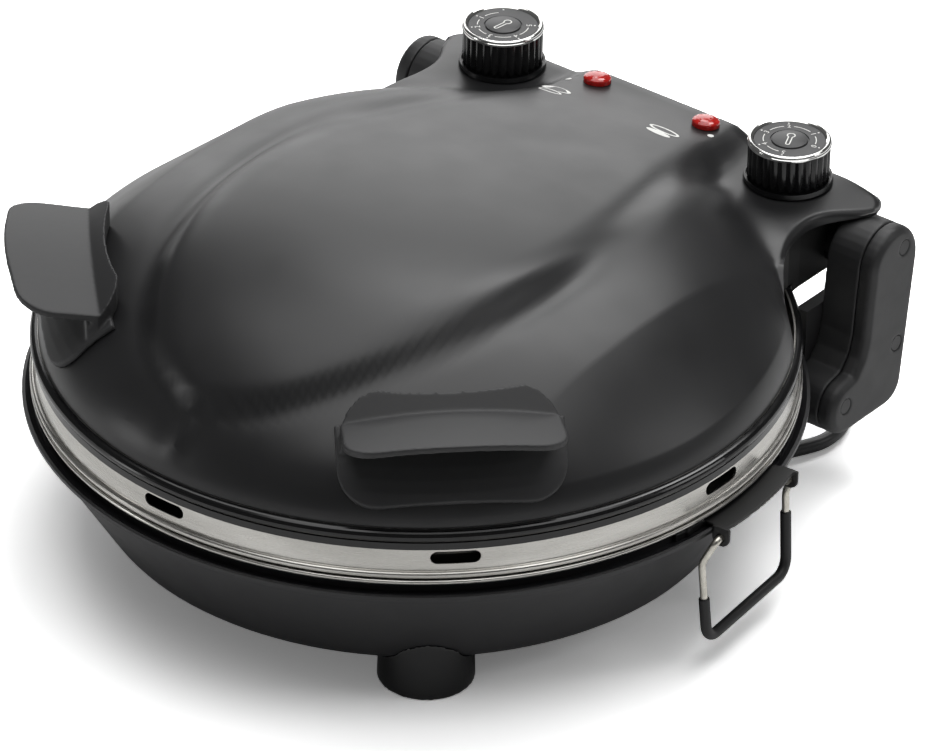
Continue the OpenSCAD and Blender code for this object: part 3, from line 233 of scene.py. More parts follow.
def element_tube():
    """Incoloy heating tube after use: dark olive oxide with lighter scale."""
    made, tree, shader = finish_of("oxidised_tube", "#4a4640", 0.55, metallic=0.7)
    where = millimetres(tree)
    tree.links.new(blend(tree, grain(tree, where, 7, 6), "#2f2c29", "#6a6358"), shader.inputs["Base Color"])
    raise_surface(tree, shader, grain(tree, where, 0.5, 3), 0.4, 0.05)
    return made


def cordierite():
    """Pressed cordierite stone: warm beige with dark and pale grit and an open, sandy surface."""
    made, tree, shader = finish_of("cordierite", "#c8b491", 0.85)
    where = millimetres(tree)
    base = blend(tree, grain(tree, where, 22, 5), "#b9a37e", "#d2c09f")
    grit = add(tree, "ShaderNodeTexVoronoi", {"Vector": where, "Scale": 0.8}).outputs["Distance"]
    specks = spread(tree, grit, 1.0, 0.0, 0.12, 0.2)
    mix = add(tree, "ShaderNodeMix", {"Factor": specks, "A": base}, data_type="RGBA")
    mix.inputs["B"].default_value = linear("#8a7353")
    tree.links.new(mix.outputs["Result"], shader.inputs["Base Color"])
    raise_surface(tree, shader, grain(tree, where, 0.8, 5), 0.6, 0.15)
    return made


def steatite():
    """Unglazed steatite ceramic, off-white."""
    made, tree, shader = finish_of("steatite", "#e6e1d3", 0.6)
    where = millimetres(tree)
    tree.links.new(blend(tree, grain(tree, where, 3, 4), "#ddd6c5", "#ece8dc"), shader.inputs["Base Color"])
    raise_surface(tree, shader, grain(tree, where, 0.4, 2), 0.3, 0.03)
    return made


def neon_lens():
    """Clear red polycarbonate lens, moulded, over a dark neon lamp."""
    made, tree, shader = finish_of("red_polycarbonate", "#b3130f", 0.12, coat=0.6, coat_roughness=0.04)
    where = millimetres(tree)
    tree.links.new(blend(tree, grain(tree, where, 2.2, 3), "#8e0c0a", "#d9231b"), shader.inputs["Base Color"])
    shader.inputs["Subsurface Weight"].default_value = 0.25
    shader.inputs["Subsurface Radius"].default_value = (0.004, 0.0005, 0.0003)
    raise_surface(tree, shader, grain(tree, where, 1.6, 2), 0.4, 0.2)
    return made


def rubber(name, code, lighter, roughness):
    """Matte elastomer with a faint bloom."""
    made, tree, shader = finish_of(name, code, roughness)
    where = millimetres(tree)
    tree.links.new(blend(tree, grain(tree, where, 3, 5), code, lighter), shader.inputs["Base Color"])
    raise_surface(tree, shader, grain(tree, where, 0.35, 2), 0.4, 0.03)
    return made


def ink():
    """White pad-printed ink, slightly uneven in tone."""
    made, tree, shader = finish_of("printed_ink", "#e9e9e6", 0.5)
    where = millimetres(tree)
    tree.links.new(blend(tree, grain(tree, where, 0.6, 3), "#dededa", "#f2f2ef"), shader.inputs["Base Color"])
    return made


def plated_chrome():
    """Bright chrome plating on plastic, with very fine handling marks."""
    made, tree, shader = finish_of("plated_chrome", "#e6e6e4", 0.08, metallic=1.0)
    tree.links.new(spread(tree, grain(tree, millimetres(tree), 2, 5), 0.05, 0.14), shader.inputs["Roughness"])
    return made


FINISHES = {}


def make_finishes():
    """Makes every material once and keeps it by the record's slot name."""
    FINISHES.update(
        enamel_black=powder_coat("satin_stoving_enamel", "#1c1c1d", "#232324", 0.36),
        bowl_black=powder_coat("satin_stoving_enamel_bowl", "#18181a", "#1f1f21", 0.42),
        frame_black=powder_coat("powder_coated_bracket", "#131313", "#1c1c1c", 0.45),
        plastic_black=moulded_plastic("textured_abs", "#202021", "#272728", 0.5, 0.4, 0.03),
        knob_black=moulded_plastic("gloss_abs", "#0d0d0e", "#141415", 0.22, 0.8, 0.004),
        rim_black=moulded_plastic("gloss_phenolic", "#0b0b0c", "#101011", 0.16, 1.2, 0.003),
        grip_grey=rubber("soft_touch_grip", "#2b2b2c", "#303031", 0.55),
        dial_grey=moulded_plastic("dial_disc_abs", "#3a3a3b", "#404041", 0.45, 0.3, 0.01),
        rubber_black=rubber("nitrile_rubber", "#151516", "#1c1c1d", 0.5),
        cable_black=rubber("soft_pvc_sheath", "#141415", "#1a1a1b", 0.4),
        steel_trim=brushed_steel("brushed_stainless", "#d6d4cf", "#a9a7a2", 0.27),
        steel_wire=drawn_wire("zinc_plated_wire", "#dedbd2", 0.3),
        steel_screw=drawn_wire("plated_steel", "#c4c2ba", 0.35),
        steel_inner=liner_steel(),
        chrome_ring=plated_chrome(),
        tube_dark=element_tube(),
        stone_clay=cordierite(),
        ceramic_white=steatite(),
        lamp_red=neon_lens(),
        ink_white=ink(),
    )


def dress(obj, finish):
    """Gives every material slot of an object one finish."""
    if not obj.data.materials:
        obj.data.materials.append(FINISHES[finish])
    for i in range(len(obj.data.materials)):
        obj.data.materials[i] = FINISHES[finish]
    for poly in obj.data.polygons if obj.type == "MESH" else ():
        poly.material_index = 0


# ------------------------------------------------------------------ modelling helpers


def clear_selection():
    if bpy.context.mode != "OBJECT":
        bpy.ops.object.mode_set(mode="OBJECT")
    bpy.ops.object.select_all(action="DESELECT")


def start(obj):
    """Makes obj the only selected object, and the active one."""
    clear_selection()
    obj.select_set(True)
    bpy.context.view_layer.objects.active = obj


def apply_place(obj):
    """Moves an object's place into its mesh, so that the object sits at the origin."""
    start(obj)
    bpy.ops.object.transform_apply(location=True, rotation=True, scale=True)


def from_points(name, points, faces):
    """A mesh object from points in millimetres about the bowl's axis."""
    mesh = bpy.data.meshes.new(name)
    mesh.from_pydata([(x * MM, (y + AXIS_Y) * MM, z * MM) for x, y, z in points], [], faces)
    mesh.update()
    obj = bpy.data.objects.new(name, mesh)
    bpy.context.scene.collection.objects.link(obj)
    return obj


def spun(name, profile, steps=128, centre=(0.0, 0.0), closed=True):
    """A turned piece: a profile of (radius, height) in millimetres, spun round a vertical axis."""
    clear_selection()
    cx, cy = centre[0] * MM, (centre[1] + AXIS_Y) * MM
    bpy.ops.mesh.primitive_circle_add(vertices=3, radius=MM, location=(0, 0, 0))
    obj = bpy.context.object
    obj.name = name
    bpy.ops.object.mode_set(mode="EDIT")
    work = bmesh.from_edit_mesh(obj.data)
    bmesh.ops.delete(work, geom=list(work.verts), context="VERTS")
    corners = [work.verts.new((cx + r * MM, cy, z * MM)) for r, z in profile]
    pairs = list(zip(corners, corners[1:])) + ([(corners[-1], corners[0])] if closed else [])
    for a, b in pairs:
        work.edges.new((a, b))
    bmesh.update_edit_mesh(obj.data)
    bpy.ops.mesh.select_all(action="SELECT")
    bpy.ops.mesh.spin(steps=steps, angle=2 * math.pi, center=(cx, cy, 0), axis=(0, 0, 1))
    bpy.ops.mesh.select_all(action="SELECT")
    bpy.ops.mesh.remove_doubles(threshold=2e-6)
    bpy.ops.mesh.normals_make_consistent(inside=False)
    bpy.ops.object.mode_set(mode="OBJECT")
    return obj


def bevelled(obj, width, segments=3, angle=35.0):
    """Rounds every edge sharper than angle, by a Bevel modifier that is applied."""
    start(obj)
    mod = obj.modifiers.new("edges", "BEVEL")
    mod.width = width * MM
    mod.segments = segments
    mod.limit_method = "ANGLE"
    mod.angle_limit = math.radians(angle)
    mod.use_clamp_overlap = True
    bpy.ops.object.modifier_apply(modifier=mod.name)


def smooth(obj, angle=35.0):
    start(obj)
    bpy.ops.object.shade_smooth_by_angle(angle=math.radians(angle))


def outward(obj):
    """Merges doubles and turns every face outwards."""
    start(obj)
    bpy.ops.object.mode_set(mode="EDIT")
    bpy.ops.mesh.select_all(action="SELECT")
    bpy.ops.mesh.remove_doubles(threshold=1e-6)
    bpy.ops.mesh.normals_make_consistent(inside=False)
    bpy.ops.object.mode_set(mode="OBJECT")


def settle(obj, body, finish, stands_for=(), angle=35.0):
    """Ends a piece: place applied, shading, finish, body and the CAD nodes that it stands for."""
    apply_place(obj)
    if angle:
        smooth(obj, angle)
    dress(obj, finish)
    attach(obj, body)
    if stands_for:
        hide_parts(*stands_for)
    return obj


def mirrored(obj, name):
    """A left copy of a right-hand piece, with its own mesh."""
    start(obj)
    bpy.ops.object.duplicate()
    copy = bpy.context.object
    copy.name = name
    copy.data.name = name
    bpy.ops.object.mode_set(mode="EDIT")
    bpy.ops.mesh.select_all(action="SELECT")
    bpy.ops.transform.mirror(constraint_axis=(True, False, False), center_override=(0, 0, 0))
    bpy.ops.mesh.normals_make_consistent(inside=False)
    bpy.ops.object.mode_set(mode="OBJECT")
    return copy


def extruded(name, outline, low, high):
    """A plate: a flat outline in millimetres, filled at the height low and extruded up to high."""
    clear_selection()
    bpy.ops.mesh.primitive_circle_add(vertices=len(outline), radius=MM, location=(0, 0, 0))
    obj = bpy.context.object
    obj.name = name
    for vert, (x, y) in zip(obj.data.vertices, outline):
        vert.co = (x * MM, (y + AXIS_Y) * MM, low * MM)
    bpy.ops.object.mode_set(mode="EDIT")
    bpy.ops.mesh.select_all(action="SELECT")
    bpy.ops.mesh.edge_face_add()
    bpy.ops.mesh.extrude_region_move(TRANSFORM_OT_translate={"value": (0, 0, (high - low) * MM)})
    bpy.ops.mesh.select_all(action="SELECT")
    bpy.ops.mesh.normals_make_consistent(inside=False)
    bpy.ops.object.mode_set(mode="OBJECT")
    return obj


def tube_mesh(name, path, radius, sides):
    """A round tube along points in millimetres, with rings that turn as little as they can."""
    path = [Vector(p) for p in path]
    count = len(path)
    along = [(path[min(count - 1, i + 1)] - path[max(0, i - 1)]).normalized() for i in range(count)]
    side = along[0].orthogonal().normalized()
    points, faces = [], []
    for i, here in enumerate(path):
        if i:
            side = (side - along[i] * side.dot(along[i])).normalized()
        over = along[i].cross(side)
        for k in range(sides):
            a = 2 * math.pi * k / sides
            points.append(here + radius * (math.cos(a) * side + math.sin(a) * over))
    for i in range(count - 1):
        for k in range(sides):
            a, b = i * sides + k, i * sides + (k + 1) % sides
            faces.append((a, b, b + sides, a + sides))
    faces.append(tuple(reversed(range(sides))))
    faces.append(tuple((count - 1) * sides + k for k in range(sides)))
    return from_points(name, points, faces)


def arc(cx, cy, r, first, last, steps):
    return [
        (
            cx + r * math.cos(math.radians(first + (last - first) * i / steps)),
            cy + r * math.sin(math.radians(first + (last - first) * i / steps)),
        )
        for i in range(steps + 1)
    ]


def bent(corners, bends, steps=8):
    """A path through corners, with an arc of the given radius at each inner one."""
    corners = [Vector(c) for c in corners]
    out = [corners[0]]
    for i in range(1, len(corners) - 1):
        a = (corners[i] - corners[i - 1]).normalized()
        b = (corners[i + 1] - corners[i]).normalized()
        turn = a.angle(b)
        away = a.cross(a.cross(b).normalized())
        hub = corners[i] - bends[i] * (math.tan(turn / 2) * a + away)
        for k in range(steps + 1):
            t = turn * k / steps
            out.append(hub + bends[i] * (math.cos(t) * away + math.sin(t) * a))
    return out + [corners[-1]]


# ------------------------------------------------------------------ sizes and colours to change


class OvenSizes(bpy.types.PropertyGroup):
    """Sizes of the visible pieces that a user may want to change."""

    cord_width: bpy.props.FloatProperty(
        name="Cord width", description="Diameter of the mains cord", default=0.0068, unit="LENGTH"
    )
    print_height: bpy.props.FloatProperty(
        name="Print height", description="How far printed marks stand proud", default=0.00006, unit="LENGTH"
    )
    dome_points: bpy.props.IntProperty(
        name="Dome points", description="Points round the outline of the dome", default=4, min=1, max=8
    )


class OvenColours(bpy.types.PropertyGroup):
    """Colours of the stage."""

    floor: bpy.props.FloatVectorProperty(
        name="Floor",
        description="Colour of the floor",
        default=linear("#f4f4f4")[:3],
        subtype="COLOR",
        size=3,
    )


# ------------------------------------------------------------------ stage


class PIZZA_OT_stage(bpy.types.Operator):
    """Sets the camera, the soft studio light and the pale floor"""

    bl_idname = "pizza.stage"
    bl_label = "Stage"

    def execute(self, context):
        scene = context.scene
        azimuth, elevation, roll = (math.radians(a) for a in (38.6, 31.83, 0.91))
        back = Vector((
            math.sin(azimuth) * math.cos(elevation),
            -math.cos(azimuth) * math.cos(elevation),
            math.sin(elevation),
        ))
        right = Vector((math.cos(azimuth), math.sin(azimuth), 0))
        up = back.cross(right)
        place = back * 2.69127 + right * 0.01996 - up * 0.00265
        place += Vector((0, AXIS_Y * MM, PART_Z * MM))
        lens_right = right * math.cos(roll) + up * math.sin(roll)
        lens_up = up * math.cos(roll) - right * math.sin(roll)
        data = bpy.data.cameras.new("photo_camera")
        data.lens = 242.1
        data.sensor_width = 36
        data.clip_end = 20
        camera = bpy.data.objects.new("photo_camera", data)
        facing = Matrix((lens_right, lens_up, back)).transposed().to_4x4()
        camera.matrix_world = Matrix.Translation(place) @ facing
        scene.collection.objects.link(camera)
        scene.camera = camera

        scene.view_settings.view_transform = "Standard"
        world = bpy.data.worlds.new("studio")
        scene.world = world
        world.use_nodes = True
        tree = world.node_tree
        tree.nodes.clear()
        path = add(tree, "ShaderNodeLightPath")
        soft = add(tree, "ShaderNodeBackground", {"Color": (1, 1, 1, 1), "Strength": 0.1})
        white = add(tree, "ShaderNodeBackground", {"Color": (1, 1, 1, 1), "Strength": 1.0})
        mix = add(
            tree,
            "ShaderNodeMixShader",
            {0: path.outputs["Is Camera Ray"], 1: soft.outputs[0], 2: white.outputs[0]},
        )
        add(tree, "ShaderNodeOutputWorld", {"Surface": mix.outputs[0]})

        lamps = (
            ("overhead", (0.1, 0.1, 2.0), (2.4, 2.2), 34),
            ("rear_left", (-1.35, 1.45, 0.75), (1.5, 1.2), 11),
            ("high_left", (-0.42, 1.29, 1.9), (1.6, 0.6), 14),
            ("front_left", (-1.3, -1.35, 0.3), (0.35, 0.5), 2.5),
            ("right_panel", (1.6, 1.05, 1.1), (0.6, 0.7), 4),
        )
        for name, at, size, power in lamps:
            light = bpy.data.lights.new(name, "AREA")
            light.shape = "RECTANGLE"
            light.size, light.size_y = size
            light.energy = power
            lamp = bpy.data.objects.new(name, light)
            lamp.location = at
            lamp.rotation_euler = (Vector((0, 0, 0.08)) - Vector(at)).to_track_quat("-Z", "Y").to_euler()
            scene.collection.objects.link(lamp)

        clear_selection()
        bpy.ops.mesh.primitive_plane_add(size=8, location=(0, 0, -0.0002))
        floor = context.object
        floor.name = "studio_floor"
        made = bpy.data.materials.new("paper_floor")
        made.use_nodes = True
        tree = made.node_tree
        tree.nodes.clear()
        path = add(tree, "ShaderNodeLightPath")
        colour = tuple(scene.oven_colours.floor) + (1,)
        plain = add(tree, "ShaderNodeBsdfDiffuse", {"Color": colour})
        bright = add(tree, "ShaderNodeBsdfDiffuse", {"Color": tuple(2.1 * c for c in colour[:3]) + (1,)})
        glow = add(tree, "ShaderNodeEmission", {"Color": (1, 1, 1, 1), "Strength": 0.12})
        seen = add(tree, "ShaderNodeAddShader", {0: bright.outputs[0], 1: glow.outputs[0]})
        mix = add(
            tree,
            "ShaderNodeMixShader",
            {0: path.outputs["Is Camera Ray"], 1: plain.outputs[0], 2: seen.outputs[0]},
        )
        add(tree, "ShaderNodeOutputMaterial", {"Surface": mix.outputs[0]})
        floor.data.materials.append(made)
        return {"FINISHED"}


# ------------------------------------------------------------------ cord

FLOOR_Z = 3.5
COIL_Z = 4.4
COIL_MIDDLE = (-62.0, 252.0)
COIL_R = 45.0
LOOP_STEP = 7.6
LOOPS = 4
LAYER = 7.6
TAIL = 22.0
RELIEF_L = 24.0
PLUG_Z = 13.2


def smooth01(t):
    t = min(1.0, max(0.0, t))
    return t * t * (3 - 2 * t)


def gland():
    """Face and direction of the strain relief, as in the part's source."""
    lip_r, part_z, bowl_z, flat_r = 170.5, PART_Z, 14.0, 131.0
    low, top = (flat_r + 9.8, bowl_z + 6.3), (lip_r - 4.3, part_z - 11)
    z = bowl_z + 6.5
    r = low[0] + (top[0] - low[0]) * (z - low[1]) / (top[1] - low[1])
    turn, lean = math.radians(54), math.radians(31.5)
    face = Vector((r * math.cos(turn), r * math.sin(turn), z))
    way = Vector((math.cos(turn) * math.cos(lean), math.sin(turn) * math.cos(lean), -math.sin(lean)))
    return face, way


def coil_point(t):
    """Point of the coil after t turns: the first half winds inwards, the second back out on top."""
    a = math.radians(-90 - 360 * t)
    half = LOOPS / 2
    r = COIL_R - LOOP_STEP * (t if t <= half else 2 * half - t)
    climb = smooth01((t - half + 0.25) / 0.5)
    x, y = COIL_MIDDLE[0] + r * math.cos(a), COIL_MIDDLE[1] + r * math.sin(a)
    return Vector((x, y, COIL_Z + LAYER * climb))


def cord_points():
    """Corners of the cord's way from the strain relief along the floor, through the coil to the plug."""
    face, way = gland()
    first = face + RELIEF_L * way
    route = [first, first + 7 * way]
    route += [
        Vector((x, y, FLOOR_Z))
        for x, y in (
            (104, 149), (107, 157), (107, 166), (105, 174), (101, 182), (95, 189), (87, 195), (77, 200),
            (66, 203), (54, 205), (41, 206), (28, 206.5), (14, 207), (0, 207), (-14, 207),
        )
    ]
    route += [Vector((-28, 207, FLOOR_Z + 0.2)), Vector((-40, 207, COIL_Z))]
    y = COIL_MIDDLE[1] - COIL_R
    route += [Vector((COIL_MIDDLE[0] + 8, y, COIL_Z)), Vector((COIL_MIDDLE[0] + 1, y, COIL_Z))]
    coil = [coil_point(i / 24) for i in range(1, 24 * LOOPS)]
    coil += [
        Vector((COIL_MIDDLE[0] - 1, y, COIL_Z + LAYER)),
        Vector((COIL_MIDDLE[0] - TAIL + 7, y, PLUG_Z)),
        Vector((COIL_MIDDLE[0] - TAIL, y, PLUG_Z)),
    ]
    return route + coil


def rounded(points, times=2):
    """Cuts the corners of a path, keeping its two ends."""
    for _ in range(times):
        out = [points[0]]
        for a, b in zip(points, points[1:]):
            out += [a.lerp(b, 0.25), a.lerp(b, 0.75)]
        points = out + [points[-1]]
    return points


class PIZZA_OT_cord(bpy.types.Operator):
    """Makes the mains cord with its coil, tie and plug"""

    bl_idname = "pizza.cord"
    bl_label = "Mains cord"

    def execute(self, context):
        width = context.scene.oven_sizes.cord_width / MM
        path = rounded(cord_points(), 2)
        cord = tube_mesh("mains_cord", path, width / 2, 14)
        settle(cord, "base", "cable_black", stands_for=("power_cord", "cord_coil"), angle=60)
        plug = self.plug()
        pins = NODES["plug_pins"]
        dress(pins, "steel_screw")
        tie = NODES["cord_tie"]
        dress(tie, "rubber_black")
        return {"FINISHED"}

    def plug(self):
        """A straight round plug with a tapered boot and grip ribs."""
        x0 = COIL_MIDDLE[0] - TAIL
        y0 = COIL_MIDDLE[1] - COIL_R
        boot, body, reach = 18.0, 26.0, 13.0
        rings = []
        for k in range(7):
            at = boot * k / 7
            rib, dip = 4.4 + 3.1 * k / 7, 3.9 + 3.0 * k / 7
            rings += [(at, rib), (at + 1.4, rib), (at + 1.5, dip), (at + 2.3, dip)]
        shape = [(d, r, r) for d, r in rings]
        shape += [
            (boot, 7.4, 7.4), (boot + 1.5, 17.6, 12.0), (boot + 3, 18.7, reach),
            (boot + body - 2, 18.7, reach), (boot + body, 17.6, 12.0),
        ]
        sides = 48
        points, faces = [], []
        for d, wide, high in shape:
            for k in range(sides):
                a = 2 * math.pi * k / sides
                c, s = math.cos(a), math.sin(a)
                side = (wide - high) * max(-1, min(1, c * 2.2))
                points.append((x0 - d, y0 + side + high * c, PLUG_Z + high * s))
        for i in range(len(shape) - 1):
            for k in range(sides):
                a, b = i * sides + k, i * sides + (k + 1) % sides
                faces.append((a, b, b + sides, a + sides))
        faces.append(tuple(range(sides)))
        faces.append(tuple((len(shape) - 1) * sides + k for k in range(sides)))
        plug = from_points("plug_moulding", points, faces)
        outward(plug)
        return settle(plug, "base", "cable_black", stands_for=("plug_body",), angle=40)


# ------------------------------------------------------------------ the lid's surface

LID_R = 163.0
RIM_H = 24.0
LOBE_H = 60.0
CROWN_H = 69.5
CROWN_DROP = 37.0
PETAL_W = 80.5
PETAL_REAR_W = 44.0
CREASE_W = 15.0
SHOULDER_H = 55.0
REAR_Y = 179.0
SHOULDER_UNDER = 48.4
NECK = (107.0, 136.0)
SHOULDER_X = 121.0
CORNER_R = 11.0
REAR_RIDGE_H = 60.5
CREASE_D = 1.2
SHEET_T = 1.4
EDGE_ROWS = (0, 0.25, 0.6, 1.0, 1.5, 2.1, 2.8, 3.6, 4.5)
GRID_STEP = 3.0
GRID_SHIFT = 0.37


def soft_max(a, b, k):
    return (a + b + math.sqrt((a - b) ** 2 + k * k)) / 2


def soft_min(a, b, k):
    return (a + b - math.sqrt((a - b) ** 2 + k * k)) / 2


def lobe(r, rise=0.0):
    """Height of the side lobes at radius r; the rise lifts them towards the rear."""
    return RIM_H + (LOBE_H + rise) * (1 - (min(r, LID_R) / LID_R) ** 2.6) ** 0.588


def crown(r):
    return RIM_H + CROWN_H * (1 - (min(r, LID_R) / LID_R) ** 2.8) ** 0.588


def shoulder(x, y):
    drop = 5.5 * (max(0, x - 90) / 31) ** 2 + 0.0096 * max(0, 125 - y) ** 2
    return SHOULDER_H - drop - 0.9 * max(0, x - 116) * min(1, max(0, (140 - y) / 30))


def petal(y):
    if y < -5:
        return PETAL_W * math.sqrt(max(0.0001, 1 - ((y + 5) / 140) ** 2))
    fall = 0.5 + 0.5 * math.cos(math.radians(min(180, 180 * (y + 5) / 200)))
    return PETAL_REAR_W + (PETAL_W - PETAL_REAR_W) * fall


def ridge(x, y):
    back = max(0, (y + 40) / 220) ** 1.6
    return soft_max(REAR_RIDGE_H, RIM_H + CROWN_H - CROWN_DROP * back - 5 * (x / 80) ** 2, 3)


def lid_surface(x, y):
    """Height of the lid's outside above the parting line, in millimetres."""
    r = math.hypot(x, y)
    rise = 8 * smooth01((y + 30) / 130)
    side = soft_max(lobe(r, rise), shoulder(abs(x), y), 6)
    top = soft_min(crown(math.hypot(x, y / 2 if y > 0 else y)), ridge(x, y), 4)
    across = (abs(x) - petal(y)) / CREASE_W
    groove = CREASE_D * max(0, 1 - across**2) ** 2
    return side + (top - side) * smooth01(0.5 - across) - groove * smooth01((LID_R - r) / 12)


def bezier(p, t):
    shares = ((1 - t) ** 3, 3 * t * (1 - t) ** 2, 3 * t * t * (1 - t), t**3)
    return [sum(share * corner[k] for share, corner in zip(shares, p)) for k in (0, 1)]


def lid_outline(fine):
    """The lid's outline: (x, y, lower edge, edge rounding), anticlockwise from the front."""
    half = []
    n = 24 * fine
    for i in range(n + 1):
        a = math.radians(-90 + 121 * i / n)
        half.append((LID_R * math.cos(a), LID_R * math.sin(a), RIM_H, 0.0))
    a = math.radians(31)
    front = [(LID_R * math.cos(a), LID_R * math.sin(a)), (124, 94), (NECK[0], 112), NECK]
    neck = [NECK, (NECK[0], NECK[1] + 14), (SHOULDER_X - 4, REAR_Y - 23), (SHOULDER_X, REAR_Y - CORNER_R)]
    n = 8 * fine
    for i in range(1, n + 1):
        t = i / n
        x, y = bezier(front, t)
        half.append((x, y, RIM_H + (SHOULDER_UNDER - RIM_H) * min(1, 2 * t), 2.6 * smooth01(2 * t)))
    n = 6 * fine
    for i in range(1, n + 1):
        x, y = bezier(neck, i / n)
        half.append((x, y, SHOULDER_UNDER, 2.6))
    n = 5 * fine
    for i in range(1, n + 1):
        a = math.radians(70 * i / n)
        half.append((
            SHOULDER_X - CORNER_R * (1 - math.cos(a)),
            REAR_Y - CORNER_R * (1 - math.sin(a)),
            SHOULDER_UNDER + 0.6,
            2.6 + 1.4 * smooth01(i / n),
        ))
    half.append((107.5, REAR_Y - 0.3, SHOULDER_UNDER + 0.6, 4.5))
    half.append((105.5, REAR_Y - 0.1, RIM_H, 5.0))
    n = 6 * fine
    for i in range(n + 1):
        t = i / n
        half.append((104 * (1 - t), REAR_Y, RIM_H, 5 + 3 * smooth01(3 * t)))
    return half + [(-x, y, z, e) for x, y, z, e in reversed(half[1:-1])]


def edge_drop(d, e):
    return 0.0 if d >= e or e < 0.1 else e - math.sqrt(max(0, e * e - (e - d) ** 2))


def inward(outline, j, reach):
    """The inward normal at point j, smoothed over its neighbours as far as reach millimetres."""
    count = len(outline)
    total = Vector((0, 0))
    for k in range(1, count // 4):
        ahead, behind = outline[(j + k) % count], outline[j - k]
        along = Vector((ahead[0] - behind[0], ahead[1] - behind[1]))
        total += Vector((-along.y, along.x)).normalized()
        if along.length > 2 * reach:
            break
    return total.normalized()


def roof(x, y):
    """Height of the lid inside its edge rows; the long rear edge is rounded further in."""
    height = lid_surface(x, y)
    if abs(x) < 104:
        height -= edge_drop(REAR_Y - y, 5 + 3 * smooth01(3 * (1 - abs(x) / 104)))
    return height


class PIZZA_OT_dome(bpy.types.Operator):
    """Makes the lid's shell with its raised middle and rear housing"""

    bl_idname = "pizza.dome"
    bl_label = "Lid shell"

    def execute(self, context):
        outline = lid_outline(context.scene.oven_sizes.dome_points)
        work = bmesh.new()

        def corner(x, y, z):
            return work.verts.new((x * MM, (y + AXIS_Y) * MM, (PART_Z + z) * MM))

        rows = [[corner(x, y, z) for x, y, z, _ in outline]]
        for d in EDGE_ROWS:
            row = []
            for j, (x, y, z, e) in enumerate(outline):
                normal = inward(outline, j, 5)
                px, py = x + d * normal.x, y + d * normal.y
                row.append(corner(px, py, max(z + 1, lid_surface(px, py) - edge_drop(d, e))))
            rows.append(row)
        count = len(outline)
        for low, high in zip(rows, rows[1:]):
            for j in range(count):
                m = (j + 1) % count
                work.faces.new((low[j], low[m], high[m], high[j]))
        self.fill(work, work.faces.new(rows[-1]), set(rows[-1]))
        mesh = bpy.data.meshes.new("lid_dome")
        work.to_mesh(mesh)
        work.free()
        dome = bpy.data.objects.new("lid_dome", mesh)
        context.scene.collection.objects.link(dome)
        start(dome)
        wall = dome.modifiers.new("sheet", "SOLIDIFY")
        wall.thickness = SHEET_T * MM
        wall.offset = -1
        bpy.ops.object.modifier_apply(modifier=wall.name)
        settle(dome, "lid", "enamel_black", stands_for=("lid_shell",), angle=50)
        return {"FINISHED"}

    def fill(self, work, face, ring):
        """Cuts the face inside the edge rows into a grid and lifts its corners to the surface."""
        faces = [face]
        for axis, low, high in (((1, 0, 0), -120, 120), ((0, 1, 0), -159, 177)):
            for k in range(int((high - low) / GRID_STEP) + 1):
                at = (low + GRID_SHIFT + k * GRID_STEP) * MM
                offset = AXIS_Y * MM if axis[1] else 0.0
                near = [f for f in faces if self.meets(f, axis, at + offset)]
                if not near:
                    continue
                others = set(faces) - set(near)
                geom = set(near)
                for f in near:
                    geom.update(f.verts)
                    geom.update(f.edges)
                cut = bmesh.ops.bisect_plane(
                    work, geom=list(geom), dist=1e-7,
                    plane_co=[c * (at + offset) for c in axis], plane_no=axis,
                )
                faces = list(others) + [g for g in cut["geom"] if isinstance(g, bmesh.types.BMFace)]
        inner = {v for f in faces for v in f.verts} - ring
        for vert in inner:
            x, y = vert.co.x / MM, vert.co.y / MM - AXIS_Y
            vert.co.z = (PART_Z + roof(x, y)) * MM

    def meets(self, face, axis, at):
        """Whether a face reaches to both sides of a cutting plane."""
        values = [v.co.dot(Vector(axis)) for v in face.verts]
        return min(values) < at < max(values)


# ------------------------------------------------------------------ moulded pieces


def softened(name, node, body, finish, voxel=0.7, passes=5):
    """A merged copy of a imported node, its edges rounded by a fine remesh and smoothing."""
    copy = NODES[node].copy()
    copy.data = NODES[node].data.copy()
    copy.name = copy.data.name = name
    bpy.context.scene.collection.objects.link(copy)
    outward(copy)
    skin = copy.modifiers.new("skin", "REMESH")
    skin.mode = "VOXEL"
    skin.voxel_size = voxel * MM
    bpy.ops.object.modifier_apply(modifier=skin.name)
    even = copy.modifiers.new("even", "SMOOTH")
    even.factor = 0.5
    even.iterations = passes
    bpy.ops.object.modifier_apply(modifier=even.name)
    bpy.ops.object.shade_smooth()
    return settle(copy, body, finish, stands_for=(node,), angle=0)


class PIZZA_OT_handles(bpy.types.Operator):
    """Makes the two soft-touch lid handles"""

    bl_idname = "pizza.handles"
    bl_label = "Lid handles"

    def execute(self, context):
        for side in ("right", "left"):
            softened("grip_" + side, "handle_" + side, "lid", "grip_grey", 0.6, 8)
        return {"FINISHED"}


class PIZZA_OT_arms(bpy.types.Operator):
    """Makes the hinge arms and their covers"""

    bl_idname = "pizza.arms"
    bl_label = "Hinge arms"

    def execute(self, context):
        for side in ("right", "left"):
            softened("arm_body_" + side, "arm_" + side, "base", "plastic_black", 0.7, 4)
            softened("arm_face_" + side, "arm_cover_" + side, "base", "plastic_black", 0.55, 14)
        return {"FINISHED"}


class PIZZA_OT_feet(bpy.types.Operator):
    """Makes the round feet under the bowl"""

    bl_idname = "pizza.feet"
    bl_label = "Feet"

    def execute(self, context):
        for place in ("front_right", "rear_right", "left"):
            softened("round_foot_" + place, "foot_" + place, "base", "knob_black", 0.6, 5)
        return {"FINISHED"}


# ------------------------------------------------------------------ bails

BAIL_R = 172.0
BAIL_Z = 65.0
BAIL_TURN = 5.5
BAIL_DROP = 50.0
EAR_GAP = 53.5
EAR_T = 1.6


